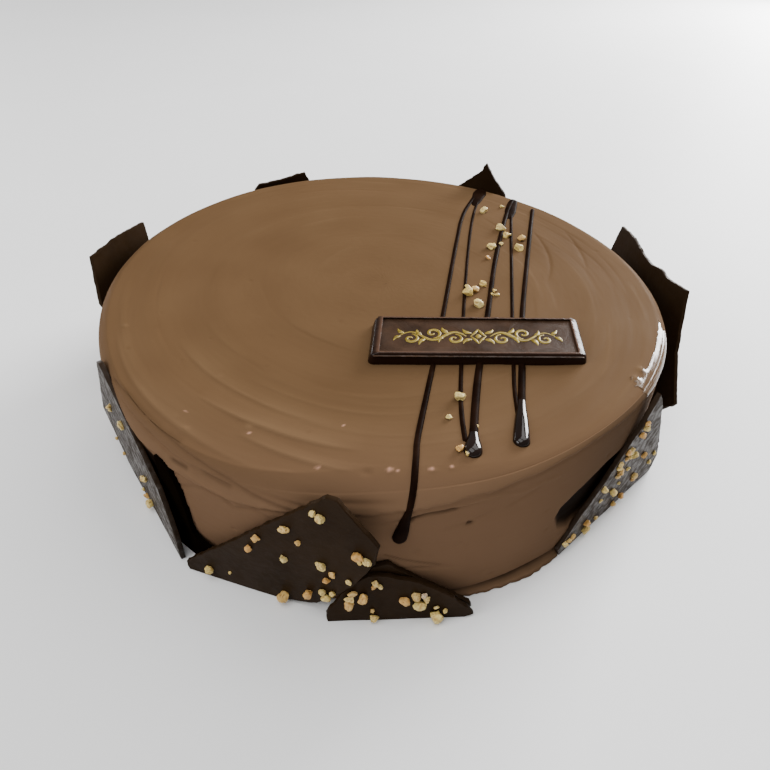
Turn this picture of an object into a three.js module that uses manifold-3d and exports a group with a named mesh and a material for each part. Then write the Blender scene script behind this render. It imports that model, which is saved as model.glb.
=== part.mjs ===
// A 24 cm chocolate celebration cake: one frosted round, threads of dark chocolate and praline
// crumbs on its top, a moulded chocolate plaque, and broken sheets of dark chocolate set round its
// wall. Millimetres, +Z up, origin at the middle of the flat base, +X along the plaque.

import * as THREE from 'three';
import { mergeVertices } from 'three/addons/utils/BufferGeometryUtils.js';
import { ParametricGeometry } from 'three/addons/geometries/ParametricGeometry.js';
import Module from 'manifold-3d';

const wasm = await Module();
wasm.setup();

// ---- driving dimensions -------------------------------------------------------------------

const CAKE_RADIUS = 120;
const CAKE_HEIGHT = 60;
const FOOT_ROUND = 1.5;
const SHARD_THICKNESS = 1.8;
const CLEARANCE = 0.35;
const PLAQUE = {
  length: 76.6, depth: 23.5, height: 5, corner: 1.2, flare: 1.3, endFlare: 3.1, skew: 0.11, x: 32.7, y: -43.6,
};
const PLAQUE_FRAME = 2.3;
const PLAQUE_FIELD_DROP = 1.1;
const PLAQUE_FIELD_SLOPE = 0.6;
const PLAQUE_FIELD_CORNER = 0.6;
const PLAQUE_BED = 0.3;
const BED_HEADROOM = 5;

// How finely the frosting is faceted.
const SLICES = 80;
const WALL_STEPS = 5;
const RIM_STEPS = 4;
const TOP_RINGS = 13;

// ---- small tools --------------------------------------------------------------------------

const radians = THREE.MathUtils.degToRad;

// The same draws every time, from a seed (Park and Miller's generator).
function seededDraw(seed) {
  let state = seed;
  return () => {
    state = (state * 16807) % 2147483647;
    return state / 2147483647;
  };
}

// A smooth hump of height 1 round one bearing of the cake, in degrees.
function hump(bearing, middle, width) {
  const turn = ((bearing - middle + 540) % 360) - 180;
  return Math.exp(-((turn / width) ** 2));
}

function solidFrom(geometry) {
  const bare = geometry.clone();
  bare.deleteAttribute('normal');
  bare.deleteAttribute('uv');
  const merged = mergeVertices(bare, 1e-4);
  const corners = merged.index.array;
  const kept = [];
  for (let i = 0; i < corners.length; i += 3) {
    const [a, b, c] = [corners[i], corners[i + 1], corners[i + 2]];
    if (a !== b && b !== c && c !== a) kept.push(a, b, c);
  }
  return new wasm.Manifold(new wasm.Mesh({
    numProp: 3,
    vertProperties: new Float32Array(merged.attributes.position.array),
    triVerts: new Uint32Array(kept),
  }));
}

function geometryFrom(solid) {
  const mesh = solid.getMesh();
  const geometry = new THREE.BufferGeometry();
  geometry.setAttribute('position', new THREE.BufferAttribute(mesh.vertProperties, 3));
  geometry.setIndex(new THREE.BufferAttribute(mesh.triVerts, 1));
  geometry.computeVertexNormals();
  return geometry;
}

function namedMesh(name, geometry, material) {
  const mesh = new THREE.Mesh(geometry, material);
  mesh.name = name;
  return mesh;
}

// ---- materials ----------------------------------------------------------------------------

const frosting = new THREE.MeshStandardMaterial({ color: 0x80624a, roughness: 0.45, metalness: 0 });
const darkChocolate = new THREE.MeshStandardMaterial({ color: 0x2d241e, roughness: 0.35, metalness: 0 });
const plaqueChocolate = new THREE.MeshStandardMaterial({ color: 0x3c2319, roughness: 0.3, metalness: 0 });

// ---- the frosted cake ---------------------------------------------------------------------

// Radius of the wall at a bearing and a height. The hand-spread coat is thinner at the right of
// the front, where the wall also leans in towards its top.
function wallRadius(bearing, z) {
  const share = z / CAKE_HEIGHT;
  const thin = 2.2 * hump(bearing, -50, 32);
  const lean = 3.5 * hump(bearing, -62, 34) * share;
  const belly = 0.7 * Math.sin(Math.PI * share);
  const foot = 1.2 * (1 - share) ** 4;
  return CAKE_RADIUS - 0.7 - thin - lean + belly - foot;
}

// How far below the top the wall ends, and how far in from the wall the flat top begins. The edge
// is crisp at the right of the front and rolls down broadly towards the left.
function rimDrop(bearing) {
  return 4.5 + 11.5 * hump(bearing, -124, 32) - 2.4 * hump(bearing, -52, 24);
}

function rimInset(bearing) {
  return 4.5 - 2.6 * hump(bearing, -128, 24) + 7.5 * hump(bearing, -92, 15);
}

// Height of the top at a bearing and a radius: the long low waves that a palette knife leaves, and
// a droop towards the left of the front, where the cream was drawn down over the edge.
function topHeight(bearing, radius) {
  const turn = radians(bearing);
  const outward = radius / CAKE_RADIUS;
  const wave = 0.25 * Math.sin(radius / 4.6 + 1.7 * Math.sin(turn + 0.8));
  const sway = 0.3 * Math.sin(2 * turn + radius / 30);
  const droop = 2.2 * hump(bearing, -126, 28) * Math.max(0, (radius - 98) / 22) ** 2;
  return CAKE_HEIGHT + 0.4 * (1 - outward) + (wave + sway) * outward * (1 - outward ** 6) - droop;
}

function topHeightAt(x, y) {
  return topHeight(THREE.MathUtils.radToDeg(Math.atan2(y, x)), Math.hypot(x, y));
}

// One point of the rolled edge, from 0 at the wall to 1 at the flat top.
function rimPoint(bearing, share) {
  const wallTop = CAKE_HEIGHT - rimDrop(bearing);
  const wall = wallRadius(bearing, wallTop);
  const inward = rimInset(bearing) * (0.3 * share + 0.7 * share ** 2);
  const flatStart = wall - rimInset(bearing);
  const rise = topHeight(bearing, flatStart) - wallTop;
  const left = 1 - share;
  return { radius: wall - inward, z: wallTop + rise * (1 - 0.3 * left - 0.7 * left ** 2) };
}

// The section at one bearing, from the middle of the base, up the wall and in to the top's middle.
const STATIONS = 2 + WALL_STEPS + RIM_STEPS + TOP_RINGS;

function sectionPoint(bearing, station) {
  if (station === 0) return { radius: 0, z: 0 };
  if (station === 1) return { radius: wallRadius(bearing, 0) - FOOT_ROUND, z: 0 };
  if (station < 2 + WALL_STEPS) {
    const share = (station - 2) / WALL_STEPS;
    const z = FOOT_ROUND + share * (CAKE_HEIGHT - rimDrop(bearing) - FOOT_ROUND);
    return { radius: wallRadius(bearing, z), z };
  }
  if (station < 2 + WALL_STEPS + RIM_STEPS) {
    return rimPoint(bearing, (station - 2 - WALL_STEPS) / RIM_STEPS);
  }
  const share = (STATIONS - station) / TOP_RINGS;
  const flatStart = rimPoint(bearing, 1).radius;
  const radius = flatStart * share;
  return { radius, z: topHeight(bearing, radius) };
}

function frostedRound() {
  const place = (u, v, target) => {
    const bearing = 360 * (u % 1);
    const { radius, z } = sectionPoint(bearing, Math.round(v * STATIONS));
    const turn = radians(bearing);
    target.set(radius * Math.cos(turn), radius * Math.sin(turn), z);
  };
  return new ParametricGeometry(place, SLICES, STATIONS);
}

// Threads of dark chocolate, drizzled across the top from back to front. Each is given by the
// places where it bends, its width, and the bead that it ends in.
const THREADS = [
  {
    path: [[56, 100], [43.3, 70], [35.4, 38.4], [21.9, -23.2], [13.5, -60], [5.7, -93], [4.5, -104]],
    width: 2,
  },
  { path: [[57, 98], [46.3, 60.7], [34.4, 0.8], [23.8, -62.9], [21.4, -82], [20.6, -96.4]], width: 1.5 },
  {
    path: [[73, 88], [64.9, 66.3], [51.4, 21], [40.4, -23], [30.8, -60], [25.6, -84], [22.6, -98.6]],
    width: 2.5,
    bead: 5.8,
  },
  { path: [[72.5, 87], [67, 61.6], [55.3, 1.4], [43.6, -61], [40.9, -79.5], [39.8, -90]], width: 1.6 },
  {
    path: [[81.5, 76], [71.6, 39.7], [55, -22.6], [46.7, -61], [41.4, -85], [39.3, -94.4]],
    width: 2.5,
    bead: 5.5,
  },
];
const THREAD_SIDES = 7;
const THREAD_SINK = 0.12;
const BEAD_LENGTH = 1.6;

function threadSolid(points, width) {
  const round = new THREE.Shape();
  for (let i = 0; i < THREAD_SIDES; i += 1) {
    const turn = (2 * Math.PI * i) / THREAD_SIDES;
    const [x, y] = [(width / 2) * Math.cos(turn), (width / 2) * Math.sin(turn)];
    if (i === 0) round.moveTo(x, y);
    else round.lineTo(x, y);
  }
  const curve = new THREE.CatmullRomCurve3(points, false, 'centripetal');
  const steps = Math.round(curve.getLength() / 9);
  return solidFrom(new THREE.ExtrudeGeometry(round, { steps, extrudePath: curve }));
}

function bead(x, y, z, across, long, turn) {
  const ball = new THREE.SphereGeometry(0.5, 9, 6);
  ball.scale(long, across, across * 0.8);
  ball.rotateZ(turn);
  ball.translate(x, y, z);
  return solidFrom(ball);
}

function threadsOnTop() {
  const made = [];
  for (const { path, width, bead: across } of THREADS) {
    const lift = width * THREAD_SINK;
    const points = path.map(([x, y]) => new THREE.Vector3(x, y, topHeightAt(x, y) + lift));
    made.push(threadSolid(points, width));
    if (across) {
      const [x, y] = path[path.length - 1];
      made.push(bead(x, y, topHeightAt(x, y), across, across * BEAD_LENGTH, radians(75)));
    }
  }
  return made;
}

// The first thread runs on over the edge and ends in a long drop part of the way down the wall. It
// crosses the edge at a bearing, after a sway on the top and before a drift on the wall.
const SPILL = {
  bearing: -89.3, sway: 1.3, drift: 1, end: 42.4, width: 2, lift: 0.4, drop: 4.6, dropLength: 9,
};
const SPILL_START = [4.6, -102];

function spilledThread() {
  const across = (bearing, radius, z) => new THREE.Vector3(
    radius * Math.cos(radians(bearing)), radius * Math.sin(radians(bearing)), z);
  const points = [new THREE.Vector3(...SPILL_START, topHeightAt(...SPILL_START) + 0.2)];
  for (const share of [1, 0.66, 0.33, 0]) {
    const bearing = SPILL.bearing + SPILL.sway * share;
    const { radius, z } = rimPoint(bearing, share);
    points.push(across(bearing, radius + SPILL.lift, z + SPILL.lift));
  }
  const end = SPILL.bearing - SPILL.drift;
  points.push(across(end, wallRadius(end, SPILL.end) + SPILL.lift, SPILL.end));
  const drop = new THREE.SphereGeometry(0.5, 9, 8);
  drop.scale(SPILL.drop, SPILL.drop * 0.7, SPILL.dropLength);
  drop.rotateZ(radians(end) + Math.PI / 2);
  const at = across(end, wallRadius(end, SPILL.end), SPILL.end);
  drop.translate(at.x, at.y, at.z);
  return [threadSolid(points, SPILL.width), solidFrom(drop)];
}

// ---- praline crumbs -----------------------------------------------------------------------

// Each scatter is a small oval patch that a pinch of crumbs fell on: its middle, its half width
// and half height, how many crumbs, and the size of the largest and the smallest.
// The largest fall first, and a crumb that would lie on another is drawn again.
function scatteredCrumbs(patches, seed, fits) {
  const draw = seededDraw(seed);
  const crumbs = [];
  for (const { at, reach, count, largest, smallest } of patches) {
    for (let i = 0; i < count; i += 1) {
      const size = largest - (largest - smallest) * (count > 1 ? i / (count - 1) : 0);
      for (let attempt = 0; attempt < 40; attempt += 1) {
        const turn = 2 * Math.PI * draw();
        const out = Math.sqrt(draw());
        const u = at[0] + reach[0] * out * Math.cos(turn);
        const v = at[1] + reach[1] * out * Math.sin(turn);
        const free = crumbs.every((other) => (
          Math.hypot(other.u - u, other.v - v) > 0.42 * (other.size + size)));
        if (free && fits(u, v, size)) {
          crumbs.push({ u, v, size, roll: Math.floor(draw() * 1000) + 1 });
          break;
        }
      }
    }
  }
  return crumbs;
}

// A broken crumb: an icosahedron with its corners pushed in and out, lying on the plane z = 0.
const CRUMB_SINK = 0.22;
const CRUMB_CLEAR = 5;

function crumbSolid({ u, v, size, roll }) {
  const draw = seededDraw(roll * 7919);
  draw();
  const rough = new THREE.IcosahedronGeometry(size / 2, 0);
  rough.deleteAttribute('normal');
  rough.deleteAttribute('uv');
  const lump = mergeVertices(rough, 1e-4);
  const corners = lump.attributes.position;
  for (let i = 0; i < corners.count; i += 1) {
    const push = 0.78 + 0.42 * draw();
    corners.setXYZ(i, corners.getX(i) * push, corners.getY(i) * push, corners.getZ(i) * push);
  }
  lump.scale(1.15, 0.9, 0.8);
  lump.rotateZ(2 * Math.PI * draw());
  lump.translate(u, v, size * CRUMB_SINK);
  return solidFrom(lump);
}

const TOP_SEED = 3594;
const TOP_PATCHES = [
  { at: [54.1, 72.2], reach: [0.5, 0.5], count: 1, largest: 4.4, smallest: 4.4 },
  { at: [65.8, 79], reach: [0.5, 0.5], count: 1, largest: 2.1, smallest: 2.1 },
  { at: [59.4, 53.2], reach: [0.5, 0.5], count: 1, largest: 5.2, smallest: 5.2 },
  { at: [61.9, 45.4], reach: [0.5, 0.5], count: 1, largest: 4.6, smallest: 4.6 },
  { at: [68.8, 42.2], reach: [0.5, 0.5], count: 1, largest: 4.8, smallest: 4.8 },
  { at: [65, 33.2], reach: [0.5, 0.5], count: 1, largest: 5.4, smallest: 5.4 },
  { at: [50.7, 32.7], reach: [0.6, 0.6], count: 1, largest: 4.8, smallest: 4.8 },
  { at: [56.9, 35.8], reach: [0.5, 0.5], count: 1, largest: 2.6, smallest: 2.6 },
  { at: [47.7, 22], reach: [0.6, 0.6], count: 1, largest: 2.4, smallest: 2.4 },
  { at: [41.7, -1.2], reach: [0.7, 0.7], count: 1, largest: 3.8, smallest: 3.8 },
  { at: [34.6, -7], reach: [3, 3.8], count: 3, largest: 4.8, smallest: 3 },
  { at: [37, -17.4], reach: [0.8, 0.6], count: 1, largest: 4.6, smallest: 4.6 },
  { at: [45.4, -8.5], reach: [1.8, 5.4], count: 3, largest: 2.2, smallest: 1.8 },
  { at: [21.8, -75], reach: [0.6, 0.6], count: 1, largest: 4.8, smallest: 4.8 },
  { at: [17.4, -84.9], reach: [0.8, 0.8], count: 1, largest: 2.6, smallest: 2.6 },
  { at: [19.1, -100.7], reach: [1.8, 1.4], count: 3, largest: 3.4, smallest: 2 },
  { at: [25.6, -89.8], reach: [0.6, 0.6], count: 1, largest: 1.7, smallest: 1.7 },
];

function crumbsOnTop() {
  const clear = (u, v) => Math.abs(v - PLAQUE.y) > PLAQUE.depth / 2 + CRUMB_CLEAR;
  return scatteredCrumbs(TOP_PATCHES, TOP_SEED, clear).map((crumb) => (
    crumbSolid(crumb).translate([0, 0, topHeightAt(crumb.u, crumb.v) - 0.15])));
}

// ---- the moulded plaque -------------------------------------------------------------------

// A rounded bar whose sides slope in towards the top, as they must to leave the mould. Its ends can
// slope out further, with most of that slope near the top, and stand a little askew to its sides.
const BAR_STEPS = 2;
const END_CURVE = 3;

function draftedBar(length, depth, height, flare, endFlare, corner) {
  const [x, y] = [length / 2 - corner, depth / 2 - corner];
  const outline = new THREE.Shape();
  outline.absarc(x, y, corner, 0, Math.PI / 2);
  outline.absarc(-x, y, corner, Math.PI / 2, Math.PI);
  outline.absarc(-x, -y, corner, Math.PI, 1.5 * Math.PI);
  outline.absarc(x, -y, corner, 1.5 * Math.PI, 2 * Math.PI);
  const bar = new THREE.ExtrudeGeometry(outline, {
    depth: height, steps: BAR_STEPS, bevelEnabled: false, curveSegments: 3,
  });
  const corners = bar.attributes.position;
  for (let i = 0; i < corners.count; i += 1) {
    const down = 1 - corners.getZ(i) / height;
    const endSpread = endFlare * (1 - (1 - down) ** END_CURVE);
    const across = corners.getY(i) + Math.sign(corners.getY(i)) * flare * down;
    const along = corners.getX(i) + Math.sign(corners.getX(i)) * endSpread;
    corners.setXY(i, along + PLAQUE.skew * across, across);
  }
  return bar;
}

function plaqueSolid() {
  const bar = draftedBar(
    PLAQUE.length, PLAQUE.depth, PLAQUE.height, PLAQUE.flare, PLAQUE.endFlare, PLAQUE.corner);
  const field = draftedBar(
    PLAQUE.length - 2 * PLAQUE_FRAME, PLAQUE.depth - 2 * PLAQUE_FRAME,
    2 * PLAQUE_FIELD_DROP, -PLAQUE_FIELD_SLOPE, -PLAQUE_FIELD_SLOPE, PLAQUE_FIELD_CORNER);
  field.translate(0, 0, PLAQUE.height - PLAQUE_FIELD_DROP);
  return solidFrom(bar).subtract(solidFrom(field));
}

const plaqueBase = CAKE_HEIGHT - PLAQUE_BED;

function plaqueBed() {
  const bed = draftedBar(
    PLAQUE.length + 2 * (PLAQUE.endFlare + CLEARANCE), PLAQUE.depth + 2 * (PLAQUE.flare + CLEARANCE),
    PLAQUE.height + BED_HEADROOM, 0, 0, PLAQUE.corner);
  bed.translate(PLAQUE.x, PLAQUE.y, plaqueBase - CLEARANCE);
  return solidFrom(bed);
}

// ---- the broken chocolate sheets ----------------------------------------------------------

// Each sheet stands flat against the wall: the bearing it faces, how far its outer face is from
// the cake's axis at the foot, how many degrees it leans out, and its broken outline, as seen from
// outside, with x to the right of the viewer and y up. crumbs are the scatters on its outer face.
const SHARDS = [
  {
    name: 'shard_front_left',
    bearing: -110, distance: 122.2, lean: 0, seed: 5442,
    outline: [[-35.5, 0], [0, 0], [10, 2.6], [15, 4.6], [20, 9.5], [28, 22], [35, 38], [36, 46.5],
      [23, 63.2], [19.5, 63.4], [-8, 34], [-35.8, 4.5]],
    crumbs: [
      { at: [16.5, 53.7], reach: [1.6, 3], count: 2, largest: 3.4, smallest: 2.6 },
      { at: [4.7, 43.2], reach: [1, 1], count: 1, largest: 3.4, smallest: 3.4 },
      { at: [-6.4, 28.8], reach: [2.4, 7], count: 2, largest: 3.4, smallest: 3 },
      { at: [10.1, 37.8], reach: [1, 1], count: 1, largest: 2.1, smallest: 2.1 },
      { at: [3.8, 27.2], reach: [1, 1], count: 1, largest: 3.2, smallest: 3.2 },
      { at: [-23, 7.5], reach: [5.5, 3.4], count: 2, largest: 3.5, smallest: 1.4 },
      { at: [18.2, 24.8], reach: [3.6, 5.6], count: 3, largest: 3.6, smallest: 2.6 },
      { at: [16.2, 12.4], reach: [5.4, 7], count: 4, largest: 4.2, smallest: 2.4 },
      { at: [2.2, 3.2], reach: [1, 1], count: 1, largest: 5, smallest: 5 },
      { at: [26.6, 24.3], reach: [1, 1], count: 1, largest: 2.4, smallest: 2.4 },
      { at: [31, 39.2], reach: [1.9, 1.9], count: 3, largest: 3.6, smallest: 2 },
    ],
  },
  {
    name: 'shard_front',
    bearing: -89, distance: 124, lean: -4, seed: 4392,
    outline: [[-26, 0], [22, 0], [25, 1.6], [22.6, 5.2], [14, 13.6], [4.5, 20.3], [-6, 24.2],
      [-12.5, 24.6], [-17.2, 21], [-20.9, 15.5], [-26.4, 4]],
    crumbs: [
      { at: [-17, 13.4], reach: [4, 4.2], count: 4, largest: 4.4, smallest: 2.9 },
      { at: [-10.2, 4], reach: [2, 2.6], count: 2, largest: 3.8, smallest: 1.8 },
      { at: [-9.5, 20.8], reach: [2, 1.7], count: 3, largest: 2.6, smallest: 2 },
      { at: [-0.7, 11.6], reach: [1, 1], count: 1, largest: 3.8, smallest: 3.8 },
      { at: [5.2, 11.8], reach: [2.6, 3], count: 4, largest: 4.4, smallest: 2.4 },
      { at: [12, 3.2], reach: [0.8, 0.6], count: 1, largest: 5.3, smallest: 5.3 },
      { at: [12.6, 5], reach: [2.6, 4], count: 2, largest: 2.2, smallest: 1.8 },
    ],
  },
  {
    name: 'shard_front_behind',
    bearing: -88, distance: 120.3, lean: 0, seed: 3,
    outline: [[-18, 0], [23, 0], [22, 2.4], [8.3, 13.6], [-4, 24.2], [-8, 28.4], [-13, 27], [-20, 12]],
    crumbs: [],
  },
  {
    name: 'shard_left',
    bearing: -146.5, distance: 120.2, lean: 0, seed: 6900,
    outline: [[-19, 0], [38.6, 0], [38.6, 14], [36, 24], [32.5, 34], [22.5, 40], [12, 47], [-12, 59],
      [-16, 57.5], [-29, 36], [-43, 14]],
    crumbs: [
      { at: [-18.5, 33], reach: [1.4, 5], count: 2, largest: 3, smallest: 2 },
      { at: [-0.7, 37.9], reach: [0.8, 0.8], count: 1, largest: 3.2, smallest: 3.2 },
      { at: [-26, 6.6], reach: [8, 2.5], count: 2, largest: 1.9, smallest: 1.8 },
      { at: [12, 20.5], reach: [5, 3.5], count: 2, largest: 2.8, smallest: 2.7 },
      { at: [6.5, 3.6], reach: [5, 1], count: 3, largest: 4, smallest: 1.8 },
    ],
  },
  {
    name: 'shard_left_behind',
    bearing: -131, distance: 121.4, lean: 0, seed: 3,
    outline: [[-3.2, 0], [14, 0], [15, 5], [16.9, 12.4], [11.6, 12.2], [8.6, 14], [7.9, 21], [7.6, 26.3],
      [6.6, 35.2], [5.2, 39.3], [3.2, 43.9], [-0.2, 46.2], [-3.2, 46.8]],
    crumbs: [],
  },
  {
    name: 'shard_right_front',
    bearing: -50.5, distance: 117.2, lean: 0, seed: 8098,
    outline: [[-13, 0], [54, 0], [54.5, 10], [41, 36], [30, 55], [25, 61.5], [20.5, 49], [11.8, 38],
      [3.6, 27.5], [-6.5, 17.8], [-15.5, 5]],
    crumbs: [
      { at: [22.5, 46.5], reach: [1.6, 3.4], count: 3, largest: 3.4, smallest: 2.6 },
      { at: [17.4, 37], reach: [2.8, 3], count: 4, largest: 2.9, smallest: 2.1 },
      { at: [23, 28.8], reach: [1.2, 4.6], count: 2, largest: 2.9, smallest: 2 },
      { at: [10.6, 32.6], reach: [2.6, 2.6], count: 2, largest: 2.6, smallest: 2.4 },
      { at: [34.9, 23.7], reach: [0.8, 0.8], count: 1, largest: 2.6, smallest: 2.6 },
      { at: [47, 14.6], reach: [1.2, 3.6], count: 2, largest: 2.3, smallest: 2.2 },
      { at: [34.6, 11], reach: [1, 1.6], count: 2, largest: 3.2, smallest: 2.8 },
      { at: [15.8, 27], reach: [2.2, 1.6], count: 3, largest: 2.9, smallest: 2 },
      { at: [5.9, 25.6], reach: [0.8, 0.8], count: 1, largest: 3.2, smallest: 3.2 },
      { at: [15.2, 15.9], reach: [0.8, 0.8], count: 1, largest: 3.9, smallest: 3.9 },
      { at: [6.7, 17.5], reach: [0.8, 0.8], count: 1, largest: 1.8, smallest: 1.8 },
      { at: [19.6, 18.3], reach: [0.8, 0.8], count: 1, largest: 1.6, smallest: 1.6 },
      { at: [24, 4], reach: [6, 1], count: 2, largest: 3.2, smallest: 2.9 },
      { at: [9.5, 4.1], reach: [0.8, 0.8], count: 1, largest: 2, smallest: 2 },
      { at: [1.4, 5.4], reach: [2, 3], count: 2, largest: 4, smallest: 3.2 },
      { at: [-9.8, 6.2], reach: [3.4, 2.4], count: 3, largest: 3, smallest: 2.2 },
    ],
  },
  {
    name: 'shard_back_left',
    bearing: 160.5, distance: 121.6, lean: 8, seed: 4,
    outline: [[-9, 0], [22, 0], [34, 41], [28.2, 61.8], [8, 62.4], [-10.4, 60.6], [-9.6, 48], [-14, 22]],
    crumbs: [
      { at: [8, 34], reach: [14, 18], count: 8, largest: 3.6, smallest: 2 },
    ],
  },
  {
    name: 'shard_back',
    bearing: 110.5, distance: 121.6, lean: 0, seed: 2,
    outline: [[-6, 0], [30, 0], [37, 28], [29, 56.5], [26.4, 59.2], [14, 60.2], [0, 62.8], [-3, 56],
      [-14, 26]],
    crumbs: [
      { at: [10, 24], reach: [16, 18], count: 8, largest: 3.8, smallest: 2 },
    ],
  },
  {
    name: 'shard_back_tip',
    bearing: 60.5, distance: 121.6, lean: 0, seed: 7,
    outline: [[-22, 0], [16, 0], [25, 30], [15.3, 56.8], [4, 67], [1.7, 69.3], [0, 73.7], [-6, 66],
      [-13, 59], [-30, 22]],
    crumbs: [
      { at: [-4, 26], reach: [16, 18], count: 8, largest: 3.6, smallest: 2 },
    ],
  },
  {
    name: 'shard_right_back',
    bearing: 7.5, distance: 121.6, lean: 8, seed: 12,
    outline: [[-55, 0], [20, 0], [34, 22], [37.9, 48], [37.4, 62.9], [24.6, 63], [14, 60.5], [4.4, 59.6],
      [-4.3, 61.4], [-9, 60.6], [-14.9, 61.4], [-24.4, 63.2], [-30.2, 51.3], [-36.7, 38.6],
      [-51.9, 21.1], [-46, 12]],
    crumbs: [
      { at: [12, 30], reach: [18, 20], count: 8, largest: 3.8, smallest: 2 },
      { at: [-20, 20], reach: [14, 12], count: 6, largest: 3.4, smallest: 2 },
    ],
  },
];

function outlineShape(outline, grow) {
  const middle = new THREE.Vector2();
  outline.forEach(([x, y]) => middle.add(new THREE.Vector2(x, y).divideScalar(outline.length)));
  return new THREE.Shape(outline.map(([x, y]) => {
    const arm = new THREE.Vector2(x, y).sub(middle);
    return arm.setLength(arm.length() + grow).add(middle);
  }));
}

// Its sheet in its own frame: x along the wall, y up, and the outer face on z = 0.
function sheetSolid(outline, grow) {
  const depth = SHARD_THICKNESS + 2 * grow;
  const sheet = new THREE.ExtrudeGeometry(outlineShape(outline, 2 * grow), { depth, bevelEnabled: false });
  sheet.translate(0, 0, grow - depth);
  return solidFrom(sheet);
}

// True where a crumb of this size has most of its foot on the sheet.
function onSheet(outline) {
  return (u, v, size) => {
    const room = 0.35 * size;
    return [[room, 0], [-room, 0], [0, room], [0, -room]].every(([du, dv]) => {
      let inside = false;
      outline.forEach(([x1, y1], i) => {
        const [x2, y2] = outline[(i + 1) % outline.length];
        const spans = (y1 > v + dv) !== (y2 > v + dv);
        if (spans && u + du < x1 + ((v + dv - y1) * (x2 - x1)) / (y2 - y1)) inside = !inside;
      });
      return inside;
    });
  };
}

function shardPlace({ bearing, distance, lean }) {
  const turn = radians(bearing);
  const outward = new THREE.Vector3(Math.cos(turn), Math.sin(turn), 0);
  const along = new THREE.Vector3(-Math.sin(turn), Math.cos(turn), 0);
  const up = new THREE.Vector3(0, 0, 1).applyAxisAngle(along, radians(lean));
  const facing = new THREE.Vector3().crossVectors(along, up);
  const place = new THREE.Matrix4().makeBasis(along, up, facing);
  return place.setPosition(outward.multiplyScalar(distance));
}

// ---- putting it together ------------------------------------------------------------------

const cakeWithPlaque = new THREE.Group();

let frosted = solidFrom(frostedRound());
for (const piece of [...threadsOnTop(), ...spilledThread(), ...crumbsOnTop()]) {
  frosted = frosted.add(piece);
}
frosted = frosted.subtract(plaqueBed());

const standing = [];
for (const shard of SHARDS) {
  const place = shardPlace(shard);
  let sheet = sheetSolid(shard.outline, 0);
  for (const crumb of scatteredCrumbs(shard.crumbs, shard.seed, onSheet(shard.outline))) {
    sheet = sheet.add(crumbSolid(crumb));
  }
  const placed = sheet.transform(place.elements);
  standing.push({ shard, placed, room: sheetSolid(shard.outline, CLEARANCE).transform(place.elements) });
}

const groundCut = new THREE.BoxGeometry(400, 400, 20);
groundCut.translate(0, 0, -10);
const ground = solidFrom(groundCut);

standing.forEach(({ shard, placed, room }, i) => {
  let sheet = placed.subtract(ground);
  standing.slice(0, i).forEach((earlier) => {
    sheet = sheet.subtract(earlier.room);
  });
  frosted = frosted.subtract(room);
  cakeWithPlaque.add(namedMesh(shard.name, geometryFrom(sheet), darkChocolate));
});

const plaque = namedMesh('plaque', geometryFrom(plaqueSolid()), plaqueChocolate);
plaque.position.set(PLAQUE.x, PLAQUE.y, plaqueBase);
cakeWithPlaque.add(plaque);
cakeWithPlaque.add(namedMesh('cake', geometryFrom(frosted), frosting));

export default cakeWithPlaque;
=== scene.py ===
import math

import bmesh
import bpy
import numpy as np
from mathutils import Matrix, Vector, noise
from mathutils.bvhtree import BVHTree
from mathutils.geometry import delaunay_2d_cdt


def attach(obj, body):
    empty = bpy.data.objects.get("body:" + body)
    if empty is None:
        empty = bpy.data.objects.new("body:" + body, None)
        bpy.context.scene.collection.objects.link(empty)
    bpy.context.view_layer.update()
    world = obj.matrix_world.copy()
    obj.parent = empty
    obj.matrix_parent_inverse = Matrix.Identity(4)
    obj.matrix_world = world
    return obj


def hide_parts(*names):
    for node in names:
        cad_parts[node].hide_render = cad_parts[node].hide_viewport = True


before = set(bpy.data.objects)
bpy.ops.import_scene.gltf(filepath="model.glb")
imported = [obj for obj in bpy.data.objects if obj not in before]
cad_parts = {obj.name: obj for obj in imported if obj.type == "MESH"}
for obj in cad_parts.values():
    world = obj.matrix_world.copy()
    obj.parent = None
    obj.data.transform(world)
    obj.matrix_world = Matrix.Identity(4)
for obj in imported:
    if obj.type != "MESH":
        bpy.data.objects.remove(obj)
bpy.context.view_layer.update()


# ---- the frosted round ----------------------------------------------------------------------
# A single round of layer cake under a coat of chocolate butter cream. It was spread by hand with
# a palette knife on a turntable, which leaves long arcs on the top, and the top's cream was drawn
# over the edge, where it ends in a ragged lip. One closed skin, with every mark modelled in it.

MM = 0.001
CAKE_RADIUS = 120.0
CAKE_HEIGHT = 60.0
FOOT_ROUND = 1.5
LIP_ZONE = 3.2
# How finely the skin is divided: round the cake, and in rows up the wall, through the lip, over
# the edge and in to the middle. The rows crowd a little towards the edge.
FROSTING_AROUND = 760
WALL_ROWS = 70
LIP_ROWS = 16
EDGE_ROWS = 46
TOP_ROWS = 190
WALL_CROWDING = 0.85
TOP_CROWDING = 0.93


def turn_from(bearing, middle):
    """How far round one bearing is from another, from -180 to 180 degrees."""
    return (bearing - middle + 540) % 360 - 180


def wall_run(bearing, middle):
    """How far one bearing is from another along the wall, in millimetres."""
    return turn_from(bearing, middle) * math.radians(1) * CAKE_RADIUS


def hump(bearing, middle, width):
    """A smooth hump of height 1 round one bearing of the cake, in degrees."""
    return np.exp(-((turn_from(bearing, middle) / width) ** 2))


def in_plan(bearing, radius):
    """East and north of a place that is given by its bearing and its distance from the axis."""
    return radius * math.cos(math.radians(bearing)), radius * math.sin(math.radians(bearing))


def wall_radius(bearing, z):
    """The coat is thinner at the right of the front, where the wall also leans in at its top."""
    share = z / CAKE_HEIGHT
    thin = 2.2 * hump(bearing, -50, 32)
    lean = 3.5 * hump(bearing, -62, 34) * share
    belly = 0.7 * np.sin(np.pi * share)
    foot = 1.2 * (1 - share) ** 4
    return CAKE_RADIUS - 0.7 - thin - lean + belly - foot


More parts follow.
